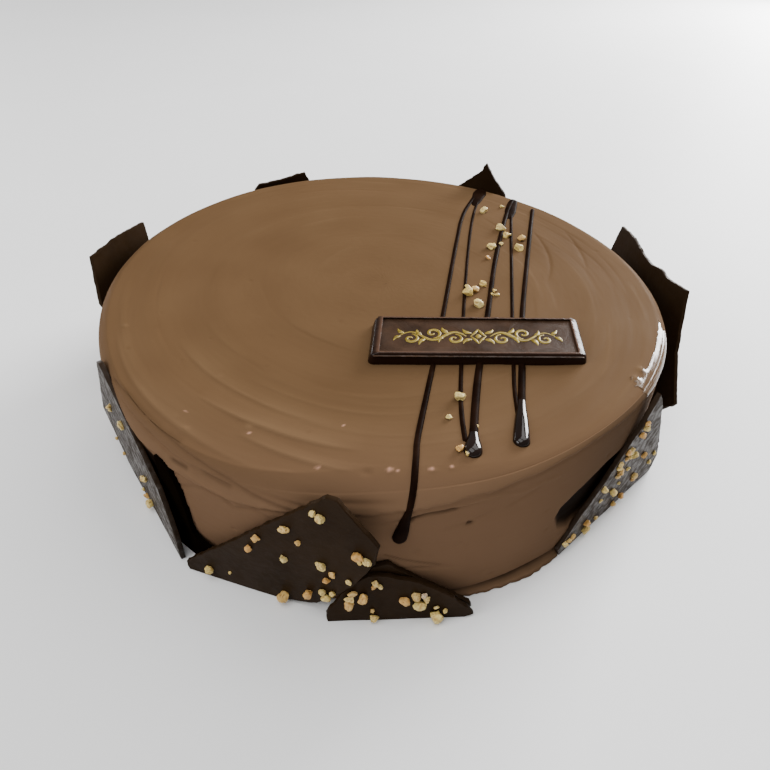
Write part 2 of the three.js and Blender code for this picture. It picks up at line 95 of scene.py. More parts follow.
def rim_drop(bearing):
    """How far below the top the wall ends: the edge rolls down broadly at the left of the front."""
    return 4.5 + 11.5 * hump(bearing, -124, 32) - 2.4 * hump(bearing, -52, 24)


def rim_inset(bearing):
    """How far in from the wall the flat top begins."""
    return 4.5 - 2.6 * hump(bearing, -128, 24) + 7.5 * hump(bearing, -92, 15)


def top_height(bearing, radius):
    """The long low waves of the palette knife, and a droop where the cream was drawn down."""
    turn = np.radians(bearing)
    outward = radius / CAKE_RADIUS
    wave = 0.25 * np.sin(radius / 4.6 + 1.7 * np.sin(turn + 0.8))
    sway = 0.3 * np.sin(2 * turn + radius / 30)
    droop = 2.2 * hump(bearing, -126, 28) * np.maximum(0, (radius - 98) / 22) ** 2
    return CAKE_HEIGHT + 0.4 * (1 - outward) + (wave + sway) * outward * (1 - outward ** 6) - droop


def rim_point(bearing, share):
    """Radius and height on the rolled edge, from 0 at the wall to 1 at the flat top."""
    wall_top = CAKE_HEIGHT - rim_drop(bearing)
    wall = wall_radius(bearing, wall_top)
    inset = rim_inset(bearing)
    rise = top_height(bearing, wall - inset) - wall_top
    left = 1 - share
    inward = inset * (0.3 * share + 0.7 * share ** 2)
    return wall - inward, wall_top + rise * (1 - 0.3 * left - 0.7 * left ** 2)


def seeded(seed):
    """The same draws every time, from a seed (Park and Miller's generator)."""
    state = [seed]

    def draw():
        state[0] = (state[0] * 16807) % 2147483647
        return state[0] / 2147483647

    return draw


def soft_noise(points, scale, offset=0.0):
    """Smooth noise between about -1 and 1, at points given in millimetres."""
    shift = Vector((offset, -offset, 2 * offset))
    return np.array([noise.noise(Vector(p) / scale + shift) for p in points])


# The section at every bearing, from the foot up the wall, round the edge and in to the middle.
bearing = np.linspace(-180, 180, FROSTING_AROUND, endpoint=False)
wall_top = CAKE_HEIGHT - rim_drop(bearing)
first_height = FOOT_ROUND * 0.15
radius_rows, height_rows = [], []
for i in range(WALL_ROWS):
    z = first_height + (wall_top - LIP_ZONE - first_height) * (i / WALL_ROWS) ** WALL_CROWDING
    radius_rows.append(wall_radius(bearing, z))
    height_rows.append(z)
for i in range(LIP_ROWS):
    z = wall_top - LIP_ZONE * (1 - i / LIP_ROWS)
    radius_rows.append(wall_radius(bearing, z))
    height_rows.append(z)
for i in range(EDGE_ROWS):
    radius, z = rim_point(bearing, i / EDGE_ROWS)
    radius_rows.append(radius)
    height_rows.append(z)
flat_start, _ = rim_point(bearing, 1.0)
for i in range(TOP_ROWS):
    radius = flat_start * (1 - i / TOP_ROWS) ** TOP_CROWDING
    radius_rows.append(radius)
    height_rows.append(top_height(bearing, radius))
radius_grid = np.array(radius_rows)
height_grid = np.array(height_rows)
bearing_grid = np.broadcast_to(bearing, radius_grid.shape)

# Which way is out of the cream at each place of the section.
radius_step = np.gradient(radius_grid, axis=0)
height_step = np.gradient(height_grid, axis=0)
step_length = np.hypot(radius_step, height_step) + 1e-9
out_radius = height_step / step_length
out_height = -radius_step / step_length
first_edge_row = WALL_ROWS + LIP_ROWS
on_top = np.zeros(radius_grid.shape)
on_top[first_edge_row + EDGE_ROWS // 2:] = 1.0
on_wall = 1.0 - on_top
turn_grid = np.radians(bearing_grid)
skin_points = np.stack(
    [radius_grid * np.cos(turn_grid), radius_grid * np.sin(turn_grid), height_grid], axis=-1)

# Ledges that the knife leaves on the top: from one bearing to another, the radius at each end,
# how high the ledge is (below 0 a scratch), and how far its slope runs in from its crisp edge.
LEDGE_CRISP = 0.55
KNIFE_LEDGES = [
    (-133, -97, 101.2, 99.4, 0.55, 5.0),
    (-120, -98, 106.4, 108.2, 0.45, 3.0),
    (-160, -112, 112.5, 115.5, 0.4, 4.0),
    (-152, -104, 92.0, 90.5, 0.3, 6.0),
    (36, 2, 93.0, 71.0, -0.42, 0.9),
    (30, 8, 106.8, 93.0, -0.34, 0.9),
    (52, 14, 84.0, 68.0, -0.26, 1.2),
    (-60, -22, 96.0, 101.0, 0.16, 6.0),
    (-46, -24, 108.5, 110.5, 0.22, 2.0),
    (118, 84, 101.0, 97.5, -0.18, 1.0),
    (140, 100, 110.5, 108.5, -0.16, 1.0),
]
DRAWN_LEDGES = 64
ledge_draw = seeded(29)
for _ in range(DRAWN_LEDGES):
    from_bearing = 360 * ledge_draw() - 180
    span = 16 + 46 * ledge_draw()
    at_radius = 16 + 100 * math.sqrt(ledge_draw())
    drift = 9 * (ledge_draw() - 0.5)
    height = (0.05 + 0.13 * ledge_draw()) * (1 if ledge_draw() < 0.6 else -0.8)
    KNIFE_LEDGES.append((from_bearing, from_bearing + span, at_radius, at_radius + drift, height,
                         1.0 + 6.0 * ledge_draw()))

relief = np.zeros(radius_grid.shape)
drag = 0.8 * np.sin(np.radians(3 * bearing_grid)) + 0.5 * np.sin(np.radians(7 * bearing_grid + 40))
for start, end, start_radius, end_radius, height, slope in KNIFE_LEDGES:
    middle, half = (start + end) / 2, abs(end - start) / 2
    along = turn_from(bearing_grid, middle) / half
    if end < start:
        along = -along
    reach = np.clip(1 - along ** 2, 0, 1) ** 0.7
    ledge_radius = start_radius + (end_radius - start_radius) * (along + 1) / 2 + drag
    past = radius_grid - ledge_radius
    fall = np.where(past > 0, np.exp(-past / LEDGE_CRISP), np.exp(past / slope))
    relief += on_top * height * reach * fall

# Low waves of the hand-spread coat, and the finer drag of cream under the blade.
WAVE_DEPTH = 0.16
WAVE_LENGTH = 21.0
DRAG_ON_TOP = 0.032
DRAG_LESS_ON_WALL = 0.02
flat_points = skin_points.reshape(-1, 3)
relief += WAVE_DEPTH * soft_noise(flat_points, WAVE_LENGTH, 3.0).reshape(relief.shape)
streak_points = np.stack([
    np.cos(turn_grid) * 9, np.sin(turn_grid) * 9,
    np.where(on_top > 0, radius_grid, height_grid + 200) * 0.62], axis=-1).reshape(-1, 3)
drag_depth = DRAG_ON_TOP - DRAG_LESS_ON_WALL * on_wall
relief += drag_depth * soft_noise(streak_points, 1.0, 7.0).reshape(relief.shape)

# At the right the top rounds over a little sooner.
SOONER_BY = 0.55
SOONER_FROM = 108.6
SOONER_OVER = 5
sooner = np.clip((radius_grid - SOONER_FROM) / SOONER_OVER, 0, 1) ** 1.5
relief -= on_top * SOONER_BY * sooner * hump(bearing_grid, -29, 11)

# The lip: the top's cream ends proud of the wall, in a ragged line just above the wall's top.
RAGGED_TEETH = 14
LIP_FADE = 4.5
LIP_CRISP = 0.16
UNDERCUT = 0.22
ragged_points = np.stack([np.cos(np.radians(bearing)) * RAGGED_TEETH,
                          np.sin(np.radians(bearing)) * RAGGED_TEETH,
                          np.zeros_like(bearing)], axis=-1)
ragged = 1.3 * soft_noise(ragged_points, 1.0, 11.0) + 0.5 * soft_noise(ragged_points, 0.35, 5.0)
lip_reach = 0.32 + 0.55 * hump(bearing, -128, 26) + 0.25 * hump(bearing, -70, 26)
above_lip = height_grid - (wall_top + 0.3 + ragged * (0.35 + 0.9 * hump(bearing, -118, 34)))
fades = np.exp(-np.maximum(above_lip, 0) / LIP_FADE)
relief += on_wall * lip_reach * fades / (1 + np.exp(-above_lip / LIP_CRISP))
under_lip = np.exp(-((above_lip + 0.9) / 0.8) ** 2)
relief -= on_wall * UNDERCUT * under_lip

# Smears and creases on the wall and the rolled edge: bearing, height, length, width, how much
# they climb, and their depth in millimetres (below 0 a ridge).
WALL_SMEARS = [
    (-139.0, 54.5, 11.0, 1.0, -0.10, 0.5), (-132.5, 53.0, 9.0, 0.9, -0.16, 0.45),
    (-126.5, 51.0, 13.0, 1.1, -0.12, 0.5), (-119.5, 51.5, 9.0, 0.8, -0.05, 0.4),
    (-122.0, 46.5, 10.0, 0.8, -0.10, -0.4), (-112.0, 43.0, 8.0, 0.6, -0.45, 0.35),
    (-106.0, 51.0, 12.0, 0.9, -0.12, 0.4), (-98.0, 54.0, 13.0, 0.9, 0.05, 0.35),
    (-90.0, 47.8, 9.0, 0.6, 0.16, 0.4), (-84.0, 50.2, 12.0, 0.6, 0.12, 0.35),
    (-90.5, 23.5, 14.0, 0.6, -0.12, 0.4), (-84.0, 21.5, 8.0, 0.5, -0.2, 0.35),
    (-79.0, 44.0, 8.0, 0.5, 0.25, 0.3), (-70.0, 47.5, 7.0, 0.5, 0.3, 0.3),
]
# Then drawn ones: faint ones all round, and stronger ones over the back. How many, the least and
# the spread of the bearing, height, length and width, and the spread of the climb and the depth.
DRAWN_SMEARS = [
    (70, (-180, 360), (4, 48), (4, 12), (0.6, 1.6), 0.3, 0.16),
    (60, (-10, 200), (6, 46), (8, 16), (0.8, 1.8), 0.24, 0.5),
]
smear_draw = seeded(71)
for count, *ranges, climbs, depths in DRAWN_SMEARS:
    for _ in range(count):
        drawn = [least + spread * smear_draw() for least, spread in ranges]
        WALL_SMEARS.append((*drawn, climbs * (smear_draw() - 0.5), depths * (smear_draw() - 0.4)))
for at, height, length, width, climb, depth in WALL_SMEARS:
    along = wall_run(bearing_grid, at)
    across = height_grid - height - climb * along
    relief -= on_wall * depth * np.exp(-(along / length) ** 4 - (across / width) ** 2)

# Air bubbles that opened into pits, and specks of cream that stand up: bearing, distance from the
# axis, size, and depth (below 0 how far a speck stands up).
TOP_PITS = [(-92.0, 107.9, 1.0, -0.35), (-85.0, 108.2, 0.9, -0.3), (-82.0, 108.1, 0.7, -0.3),
            (-128.0, 113.4, 1.1, -0.35), (-119.0, 102.2, 1.3, -0.3), (-32.5, 109.6, 1.5, -0.5),
            (-36.0, 109.4, 1.4, -0.45), (-162.0, 108.7, 1.0, -0.35), (-96.0, 109.0, 1.2, 0.4)]
DRAWN_TOP_PITS = 46
DRAWN_WALL_PITS = 90


def squared_from(bearing, radius):
    """The square of each skin point's distance in plan from a place on the top."""
    x, y = in_plan(bearing, radius)
    return (skin_points[..., 0] - x) ** 2 + (skin_points[..., 1] - y) ** 2


pit_draw = seeded(17)
for _ in range(DRAWN_TOP_PITS):
    TOP_PITS.append((360 * pit_draw() - 180, 8 + 106 * math.sqrt(pit_draw()), 0.5 + 0.6 * pit_draw(),
                     0.3 * (pit_draw() - 0.3)))
for at, radius, size, depth in TOP_PITS:
    relief -= on_top * depth * np.exp(-squared_from(at, radius) / size ** 2)
wall_pit_draw = seeded(53)
for _ in range(DRAWN_WALL_PITS):
    at = 360 * wall_pit_draw() - 180
    height = 5 + 44 * wall_pit_draw()
    size = 0.45 + 0.5 * wall_pit_draw()
    depth = 0.2 + 0.35 * wall_pit_draw()
    away = wall_run(bearing_grid, at) ** 2 + (height_grid - height) ** 2
    relief -= on_wall * depth * np.exp(-away / size ** 2)

# The front of the lip: the line under it, painted dark as the lip's shade, and its edge, which stands up.
UNDER_LIP = [(-89.9, 46.0), (-88.2, 48.7), (-86.5, 49.8), (-83.8, 50.1), (-81.8, 50.6)]
LIP_EDGE = [(-82.0, 51.4), (-77.3, 52.4), (-74.3, 52.2), (-69.9, 49.9), (-65.9, 50.8), (-62.7, 50.2)]
# Creases, lips and scars that can be followed one by one: the places that each runs through, as
# bearing and height, how wide it is, how deep (below 0 a raised lip), and how dark its bottom is
# painted, as painted shade in the crease.
CREAM_MARKS = [
    ([(-147.8, 57.1), (-141.5, 58.6), (-134.0, 58.2), (-128.8, 57.3), (-122.8, 55.3), (-117.0, 53.3),
      (-112.7, 50.5), (-106.8, 48.1)], 0.9, 0.5, 0.2),
    ([(-139.5, 59.6), (-130.7, 59.4), (-122.9, 59.5), (-116.0, 59.6), (-107.9, 59.8)], 0.6, -0.35, 0.0),
    ([(-135.8, 59.3), (-132.8, 59.0)], 1.0, 0.35, 0.22),
    ([(-129.6, 58.9), (-127.0, 58.9)], 1.1, 0.35, 0.22),
    ([(-128.4, 49.3), (-125.6, 49.4)], 1.1, 0.5, 0.4),
    ([(-121.7, 51.3), (-117.0, 50.7)], 1.2, 0.4, 0.22),
    ([(-127.5, 37.7), (-122.1, 44.3), (-119.0, 44.3), (-116.4, 41.1), (-113.0, 44.0), (-108.8, 45.9)],
     1.0, 0.4, 0.08),
    (UNDER_LIP, 0.6, 0.7, 0.6),
    (LIP_EDGE, 0.6, -0.3, 0.0),
    ([(-92.4, 31.0), (-89.2, 27.8), (-85.8, 25.1), (-83.2, 22.7)], 0.5, 0.35, 0.35),
    ([(-79.6, 42.7), (-79.0, 42.5)], 0.7, 0.8, 0.9),
]


def skin_place(at, height):
    """A place on the smooth skin at a bearing and a height on the wall or the rolled edge."""
    edge_radius, edge_height = rim_point(at, np.linspace(0, 1, 40))
    if height < edge_height[0]:
        radius = wall_radius(at, height)
    else:
        radius = np.interp(height, edge_height, edge_radius)
    return np.array([*in_plan(at, radius), height])


def squared_from_line(points, line):
    """The square of each point's distance from a line through the given places."""
    nearest = np.full(points.shape[:-1], 1e9)
    for start, end in zip(line, line[1:]):
        way = end - start
        share = np.clip(((points - start) @ way) / (way @ way), 0, 1)
        offset = points - start - share[..., None] * way
        nearest = np.minimum(nearest, (offset ** 2).sum(-1))
    return nearest


SHADE_SHARPNESS = 1.6
# Painted shade: how far the cream's colour goes to near-black in creases, hollows, gaps and shade.
cream_painted_shade = np.zeros(radius_grid.shape)
for marked, width, depth, darkness in CREAM_MARKS:
    line = [skin_place(at, height) for at, height in marked]
    across = squared_from_line(skin_points, line) / width ** 2
    relief -= depth * np.exp(-across)
    cream_painted_shade = np.maximum(cream_painted_shade, darkness * np.exp(-SHADE_SHARPNESS * across))

# The cream pulled away beside the sheet at the right of the front and left a hollow there, which is
# painted near-black as painted shade.
HOLLOW = [(-43.1, 38.3), (-48.7, 38.8), (-52.5, 37.1), (-56.7, 34.1), (-59.8, 30.6), (-60.6, 26.3),
          (-59.0, 18.8), (-56.0, 14.9), (-50.0, 18.0), (-40.0, 26.0)]
HOLLOW_DEPTH = 2.4
HOLLOW_STEEPNESS = 1.6
unrolled = np.stack([np.radians(bearing_grid) * CAKE_RADIUS, height_grid], axis=-1)
hollow_edge = [np.array((math.radians(at) * CAKE_RADIUS, height)) for at, height in HOLLOW + HOLLOW[:1]]
edge_away = np.sqrt(squared_from_line(unrolled, hollow_edge))


def inside_outline(outline, x, y):
    """True for each place that the closed outline goes round."""
    inside = np.zeros(x.shape, bool)
    for (x1, y1), (x2, y2) in zip(outline, outline[1:] + outline[:1]):
        if y1 != y2:
            spans = (y1 > y) != (y2 > y)
            inside ^= spans & (x < x1 + (y - y1) * (x2 - x1) / (y2 - y1))
    return inside


in_hollow = inside_outline(HOLLOW, bearing_grid, height_grid)
hollow = on_wall / (1 + np.exp(-np.where(in_hollow, edge_away, -edge_away) * HOLLOW_STEEPNESS))
relief -= HOLLOW_DEPTH * hollow
cream_painted_shade = np.maximum(cream_painted_shade, hollow)

# Beside the sheet at the left, low on the wall, the cream is painted near-black: painted shadow in
# the gap between that sheet and the wall.
LEFT_GAP_SHADOW = [(-141.0, 44.0), (-136.5, 43.4), (-132.8, 43.2), (-131.0, 40.6), (-129.8, 35.5), (-129.2, 28.0),
           (-129.0, 16.0), (-130.0, 4.0), (-126.0, 2.0), (-126.0, 0.0), (-141.0, 0.0)]
SHADOW_SOFTENING = 6
left_gap_shadow = on_wall * inside_outline(LEFT_GAP_SHADOW, bearing_grid, height_grid)
for _ in range(SHADOW_SOFTENING):
    left_gap_shadow = (left_gap_shadow + np.roll(left_gap_shadow, 1, 0) + np.roll(left_gap_shadow, -1, 0)
               + np.roll(left_gap_shadow, 1, 1) + np.roll(left_gap_shadow, -1, 1)) / 5
cream_painted_shade = np.maximum(cream_painted_shade, left_gap_shadow)

# The wall at the right of the front, where the coat is thin, is painted darker: painted shade on the
# side of the wall that the lights leave dark.
RIGHT_WALL_SHADE = 0.48
cream_painted_shade = np.maximum(cream_painted_shade, RIGHT_WALL_SHADE * on_wall * hump(bearing_grid, -44, 17))

# The wall's cream is a shade redder and lighter, and so is the front of the top, where the two run
# together, mostly at the front: a redder cream, and painted light that lifts the shaded front wall.
REDDER_FROM = 76
REDDER_OVER = 38
REDDER_AT_BACK = 0.25
outward_share = np.clip((radius_grid - REDDER_FROM) / REDDER_OVER, 0, 1) ** 1.5
front_share = 0.6 * hump(bearing_grid, -92, 48) * outward_share
rows_to_top = first_edge_row + EDGE_ROWS - np.arange(radius_grid.shape[0])
edge_share = np.clip(rows_to_top / EDGE_ROWS, 0, 1)[:, None]
front_share += (1 - front_share) * edge_share
wall_tone_and_light = front_share * (REDDER_AT_BACK + (1 - REDDER_AT_BACK) * hump(bearing_grid, -98, 75))

# Small specks that stand up on the top, painted pale as painted highlights: bearing, distance from
# the axis, and size.
SPECK_HIGHLIGHTS = [(-103.9, 109.7, 0.9), (-92.3, 107.6, 1.3), (-91.0, 107.9, 0.7), (-85.4, 107.7, 1.1),
               (-82.0, 107.6, 0.9), (-101.9, 90.4, 0.7), (-118.0, 104.0, 0.9), (-131.0, 108.0, 0.7)]
SPECK_SPREAD = 0.45
cream_painted_highlight = np.zeros(radius_grid.shape)
for at, radius, size in SPECK_HIGHLIGHTS:
    away = squared_from(at, radius) / (SPECK_SPREAD * size ** 2)
    cream_painted_highlight = np.maximum(cream_painted_highlight, on_top * np.exp(-away ** 2))

# The foot is ragged, where the knife stopped just short of the bottom. At the right of the front it
# flares out, under a thin gap in the coat, and the gap is painted dark as painted shade.
FOOT_ZONE = 1.6
GAP_HEIGHT = 3.4
GAP_DEPTH = 1.9
GAP_DARKNESS = 0.9
FLARE_OUT = 3.0
FLARE_HEIGHT = 2.1
foot_points = ragged_points * 1.7
foot_ragged = soft_noise(foot_points, 1.0, 19.0) + 0.6 * soft_noise(foot_points, 0.4, 23.0)
relief += on_wall * np.exp(-height_grid / FOOT_ZONE) * (0.5 * foot_ragged - 0.3)
from_gap = height_grid - (GAP_HEIGHT + 0.7 * soft_noise(foot_points * 0.8, 1.0, 31.0))
relief -= on_wall * GAP_DEPTH * np.exp(-(from_gap / 0.7) ** 2) * hump(bearing_grid, -66, 12)
flare = (FLARE_OUT + 0.4 * foot_ragged) * np.exp(-(height_grid / FLARE_HEIGHT) ** 4)
relief += on_wall * flare * hump(bearing_grid, -65, 15)
shade_in_gap = GAP_DARKNESS * np.exp(-from_gap ** 2) * hump(bearing_grid, -67, 11)
cream_painted_shade = np.maximum(cream_painted_shade, on_wall * shade_in_gap)

radius_grid = radius_grid + relief * out_radius
height_grid = np.maximum(height_grid + relief * out_height, 0.0)
frosting_points = np.stack(
    [radius_grid * np.cos(turn_grid), radius_grid * np.sin(turn_grid), height_grid], axis=-1)

# The broken sheets that stand against the wall, as in the part's source: name, bearing, distance
# of the outer face at the foot, lean in degrees, and outline seen from outside.
SHEET_THICKNESS = 1.8
SHEETS = {
    "shard_front_left": (-110, 122.2, 0, [
        (-35.5, 0), (0, 0), (10, 2.6), (15, 4.6), (20, 9.5), (28, 22), (35, 38), (36, 46.5),
        (23, 63.2), (19.5, 63.4), (-8, 34), (-35.8, 4.5)]),
    "shard_front": (-89, 124, -4, [
        (-26, 0), (22, 0), (25, 1.6), (22.6, 5.2), (14, 13.6), (4.5, 20.3), (-6, 24.2), (-12.5, 24.6),
        (-17.2, 21), (-20.9, 15.5), (-26.4, 4)]),
    "shard_front_behind": (-88, 120.3, 0, [
        (-18, 0), (23, 0), (22, 2.4), (8.3, 13.6), (-4, 24.2), (-8, 28.4), (-13, 27), (-20, 12)]),
    "shard_left": (-146.5, 120.2, 0, [
        (-19, 0), (38.6, 0), (38.6, 14), (36, 24), (32.5, 34), (22.5, 40), (12, 47), (-12, 59),
        (-16, 57.5), (-29, 36), (-43, 14)]),
    # This sheet fills the shaded gap by the wall and is coloured near-black, as painted shade.
    "shard_left_behind": (-131, 121.4, 0, [
        (-3.2, 0), (14, 0), (15, 5), (16.9, 12.4), (11.6, 12.2), (8.6, 14), (7.9, 21), (7.6, 26.3),
        (6.6, 35.2), (5.2, 39.3), (3.2, 43.9), (-0.2, 46.2), (-3.2, 46.8)]),
    "shard_right_front": (-50.5, 117.2, 0, [
        (-13, 0), (54, 0), (54.5, 10), (41, 36), (30, 55), (25, 61.5), (20.5, 49), (11.8, 38),
        (3.6, 27.5), (-6.5, 17.8), (-15.5, 5)]),
    "shard_back_left": (160.5, 121.6, 8, [
        (-9, 0), (22, 0), (34, 41), (28.2, 61.8), (8, 62.4), (-10.4, 60.6), (-9.6, 48), (-14, 22)]),
    "shard_back": (110.5, 121.6, 0, [
        (-6, 0), (30, 0), (37, 28), (29, 56.5), (26.4, 59.2), (14, 60.2), (0, 62.8), (-3, 56),
        (-14, 26)]),
    "shard_back_tip": (60.5, 121.6, 0, [
        (-22, 0), (16, 0), (25, 30), (15.3, 56.8), (4, 67), (1.7, 69.3), (0, 73.7), (-6, 66),
        (-13, 59), (-30, 22)]),
    "shard_right_back": (7.5, 121.6, 8, [
        (-55, 0), (20, 0), (34, 22), (37.9, 48), (37.4, 62.9), (24.6, 63), (14, 60.5), (4.4, 59.6),
        (-4.3, 61.4), (-9, 60.6), (-14.9, 61.4), (-24.4, 63.2), (-30.2, 51.3), (-36.7, 38.6),
        (-51.9, 21.1), (-46, 12)]),
}


def sheet_place(bearing, distance, lean):
    """Where a sheet stands: columns along the wall, up, and facing out, then its foot's middle."""
    turn, tip = math.radians(bearing), math.radians(lean)
    outward = Vector((math.cos(turn), math.sin(turn), 0))
    along = Vector((-math.sin(turn), math.cos(turn), 0))
    up = Matrix.Rotation(tip, 3, along) @ Vector((0, 0, 1))
    facing = along.cross(up)
    place = Matrix.Identity(4)
    for column, axis in enumerate((along, up, facing, outward * distance)):
        for row in range(3):
            place[row][column] = axis[row]
    return place


# The cream gives way behind each sheet that is pressed into it.
PRESS_CLEAR = 0.3
PRESS_REACH = 6
for sheet_bearing, distance, lean, outline in SHEETS.values():
    to_sheet = np.array(sheet_place(sheet_bearing, distance, lean).inverted())
    local = frosting_points @ to_sheet[:3, :3].T + to_sheet[:3, 3]
    wanted = -SHEET_THICKNESS - PRESS_CLEAR
    pressed = inside_outline(outline, local[..., 0], local[..., 1]) & (local[..., 2] > wanted)
    pressed &= local[..., 2] < PRESS_REACH
    back_by = np.where(pressed, local[..., 2] - wanted, 0)[..., None]
    frosting_points = frosting_points - back_by * to_sheet[2, :3]

rows, around = frosting_points.shape[:2]
skin = frosting_points.reshape(-1, 3)
top_middle = [0.0, 0.0, float(top_height(0, 0))]
foot_middle = [0.0, 0.0, 0.0]
foot_ring = frosting_points[0].copy()
foot_ring[:, 2] = 0.0
foot_ring[:, :2] *= 1 - FOOT_ROUND * 0.4 / CAKE_RADIUS
frosting_vertices = np.vstack([skin, foot_ring, [top_middle], [foot_middle]]) * MM
foot_start = rows * around
last_row = (rows - 1) * around
top_index = foot_start + around
foot_index = top_index + 1


def skin_quad(row, column):
    right = (column + 1) % around
    low, high = row * around, (row + 1) * around
    return low + column, low + right, high + right, high + column


frosting_faces = [skin_quad(row, column) for row in range(rows - 1) for column in range(around)]
for column in range(around):
    right = (column + 1) % around
    frosting_faces.append((foot_start + column, foot_start + right, right, column))
    frosting_faces.append((foot_start + right, foot_start + column, foot_index))
    frosting_faces.append((last_row + column, last_row + right, top_index))


def mesh_piece(name, vertices, faces, material):
    """A smooth piece in metres from its corners and faces, linked to the scene."""
    mesh = bpy.data.meshes.new(name)
    mesh.from_pydata([tuple(v) for v in vertices], [], [tuple(f) for f in faces])
    mesh.materials.append(material)
    mesh.update()
    mesh.polygons.foreach_set("use_smooth", [True] * len(mesh.polygons))
    piece = bpy.data.objects.new(name, mesh)
    bpy.context.scene.collection.objects.link(piece)
    return piece


def paint_points(piece, name, values):
    """Keeps one number for each corner of the mesh, for its material to read."""
    layer = piece.data.attributes.new(name, "FLOAT", "POINT")
    layer.data.foreach_set("value", np.asarray(values, np.float32))


class Finish:
    """A material's node tree, with short calls for the nodes that these finishes are made of."""

    def __init__(self, name):
        self.material = bpy.data.materials.new(name)
        self.material.use_nodes = True
        self.tree = self.material.node_tree
        self.shader = self.tree.nodes["Principled BSDF"]
        self.place = self.node("ShaderNodeTexCoord").outputs["Object"]

    def node(self, kind, **settings):
        made = self.tree.nodes.new(kind)
        for key, value in settings.items():
            if hasattr(made, key):
                setattr(made, key, value)
            else:
                made.inputs[key.replace("_", " ")].default_value = value
        return made

    def link(self, source, target):
        self.tree.links.new(source, target)

    def grain(self, scale, detail=3.0, roughness=0.55, place=None, distortion=0.0):
        made = self.node("ShaderNodeTexNoise", Scale=scale, Detail=detail, Roughness=roughness,
                         Distortion=distortion)
        self.link(place or self.place, made.inputs["Vector"])
        return made.outputs["Fac"]

    def stretched(self, x, y, z, place=None):
        made = self.node("ShaderNodeVectorMath", operation="MULTIPLY")
        made.inputs[1].default_value = (x, y, z)
        self.link(place or self.place, made.inputs[0])
        return made.outputs["Vector"]

    def ramp(self, source, stops):
        made = self.node("ShaderNodeValToRGB")
        elements = made.color_ramp.elements
        while len(elements) < len(stops):
            elements.new(0.5)
        for element, (at, colour) in zip(elements, stops):
            element.position = at
            element.color = (*colour, 1) if len(colour) == 3 else colour
        self.link(source, made.inputs["Fac"])
        return made.outputs["Color"]

    def grey(self, source, low, high, dark, light):
        """A number that goes from dark to light as the source goes from low to high."""
        made = self.node("ShaderNodeMapRange")
        for key, value in zip(("From Min", "From Max", "To Min", "To Max"), (low, high, dark, light)):
            made.inputs[key].default_value = value
        self.link(source, made.inputs["Value"])
        return made.outputs["Result"]

    def mix(self, share, first, second):
        """The first colour where the share is 0, and the second where it is 1."""
        made = self.node("ShaderNodeMix", data_type="RGBA")
        self.link(share, made.inputs[0])
        for socket, value in ((6, first), (7, second)):
            if isinstance(value, tuple):
                made.inputs[socket].default_value = (*value, 1)
            else:
                self.link(value, made.inputs[socket])
        return made.outputs[2]

    def mixed_number(self, share, first, second):
        """The second number, with a share of the first added to it."""
        made = self.node("ShaderNodeMath", operation="MULTIPLY_ADD")
        self.link(first, made.inputs[0])
        made.inputs[1].default_value = share
        self.link(second, made.inputs[2])
        return made.outputs["Value"]

    def painted(self, name):
        """The number that paint_points keeps for each corner."""
        return self.node("ShaderNodeAttribute", attribute_name=name).outputs["Fac"]

    def bump(self, *layers):
        """Layers of (height, strength, distance in metres), from the broad one to the fine one."""
        normal = None
        for height, strength, distance in layers:
            made = self.node("ShaderNodeBump", Strength=strength, Distance=distance)
            self.link(height, made.inputs["Height"])
            if normal is not None:
                self.link(normal, made.inputs["Normal"])
            normal = made.outputs["Normal"]
        self.link(normal, self.shader.inputs["Normal"])

    def set(self, **values):
        for key, value in values.items():
            socket = self.shader.inputs[key.replace("_", " ")]
            if isinstance(value, bpy.types.NodeSocket):
                self.link(value, socket)
            else:
                socket.default_value = (*value, 1) if isinstance(value, tuple) else value


# Butter cream: a soft, matt milk-chocolate brown, streaked the way the blade went, redder on the wall.
# Its colour also carries painted light and shade: lighter on the front wall and where it stands up,
# pale painted highlights on specks, and near-black painted shade in creases, hollows and gaps.
CREAM_TONES = [
    (0.45, (0.090, 0.050, 0.0232)), (0.75, (0.104, 0.0587, 0.0277)), (1.05, (0.117, 0.0674, 0.033))]
SUNK_CREAM_SHADED = (0.078, 0.042, 0.0187)
RAISED_CREAM_LIT = (0.123, 0.0727, 0.0357)
WALL_CREAM_LIT = (0.168, 0.0985, 0.060)
HIGHLIGHT_CREAM = (0.36, 0.20, 0.135)
PAINTED_SHADE_BROWN = (0.006, 0.0032, 0.0017)
cream = Finish("chocolate_cream")
apart = cream.node("ShaderNodeSeparateXYZ")
cream.link(cream.place, apart.inputs["Vector"])
reach = cream.node("ShaderNodeVectorMath", operation="LENGTH")
cream.link(cream.stretched(1, 1, 0), reach.inputs[0])
way_round = cream.node("ShaderNodeVectorMath", operation="NORMALIZE")
cream.link(cream.stretched(1, 1, 0), way_round.inputs[0])
outward = cream.node("ShaderNodeCombineXYZ")
cream.link(reach.outputs["Value"], outward.inputs["X"])
cream.link(apart.outputs["Z"], outward.inputs["Y"])
along_blade = cream.node("ShaderNodeVectorMath", operation="MULTIPLY_ADD")
cream.link(cream.stretched(300, 420, 1, outward.outputs["Vector"]), along_blade.inputs[0])
along_blade.inputs[1].default_value = (1, 1, 1)
cream.link(cream.stretched(2.2, 2.2, 2.2, way_round.outputs["Vector"]), along_blade.inputs[2])
streak = cream.grain(1.0, 4.0, 0.6, along_blade.outputs["Vector"], 0.6)
broad_streak = cream.grain(0.22, 3.0, 0.5, along_blade.outputs["Vector"], 0.9)
cloud = cream.grain(16.0, 4.0)
speck = cream.grain(900.0, 2.0)
base = cream.ramp(cream.mixed_number(0.5, broad_streak, cloud), CREAM_TONES)
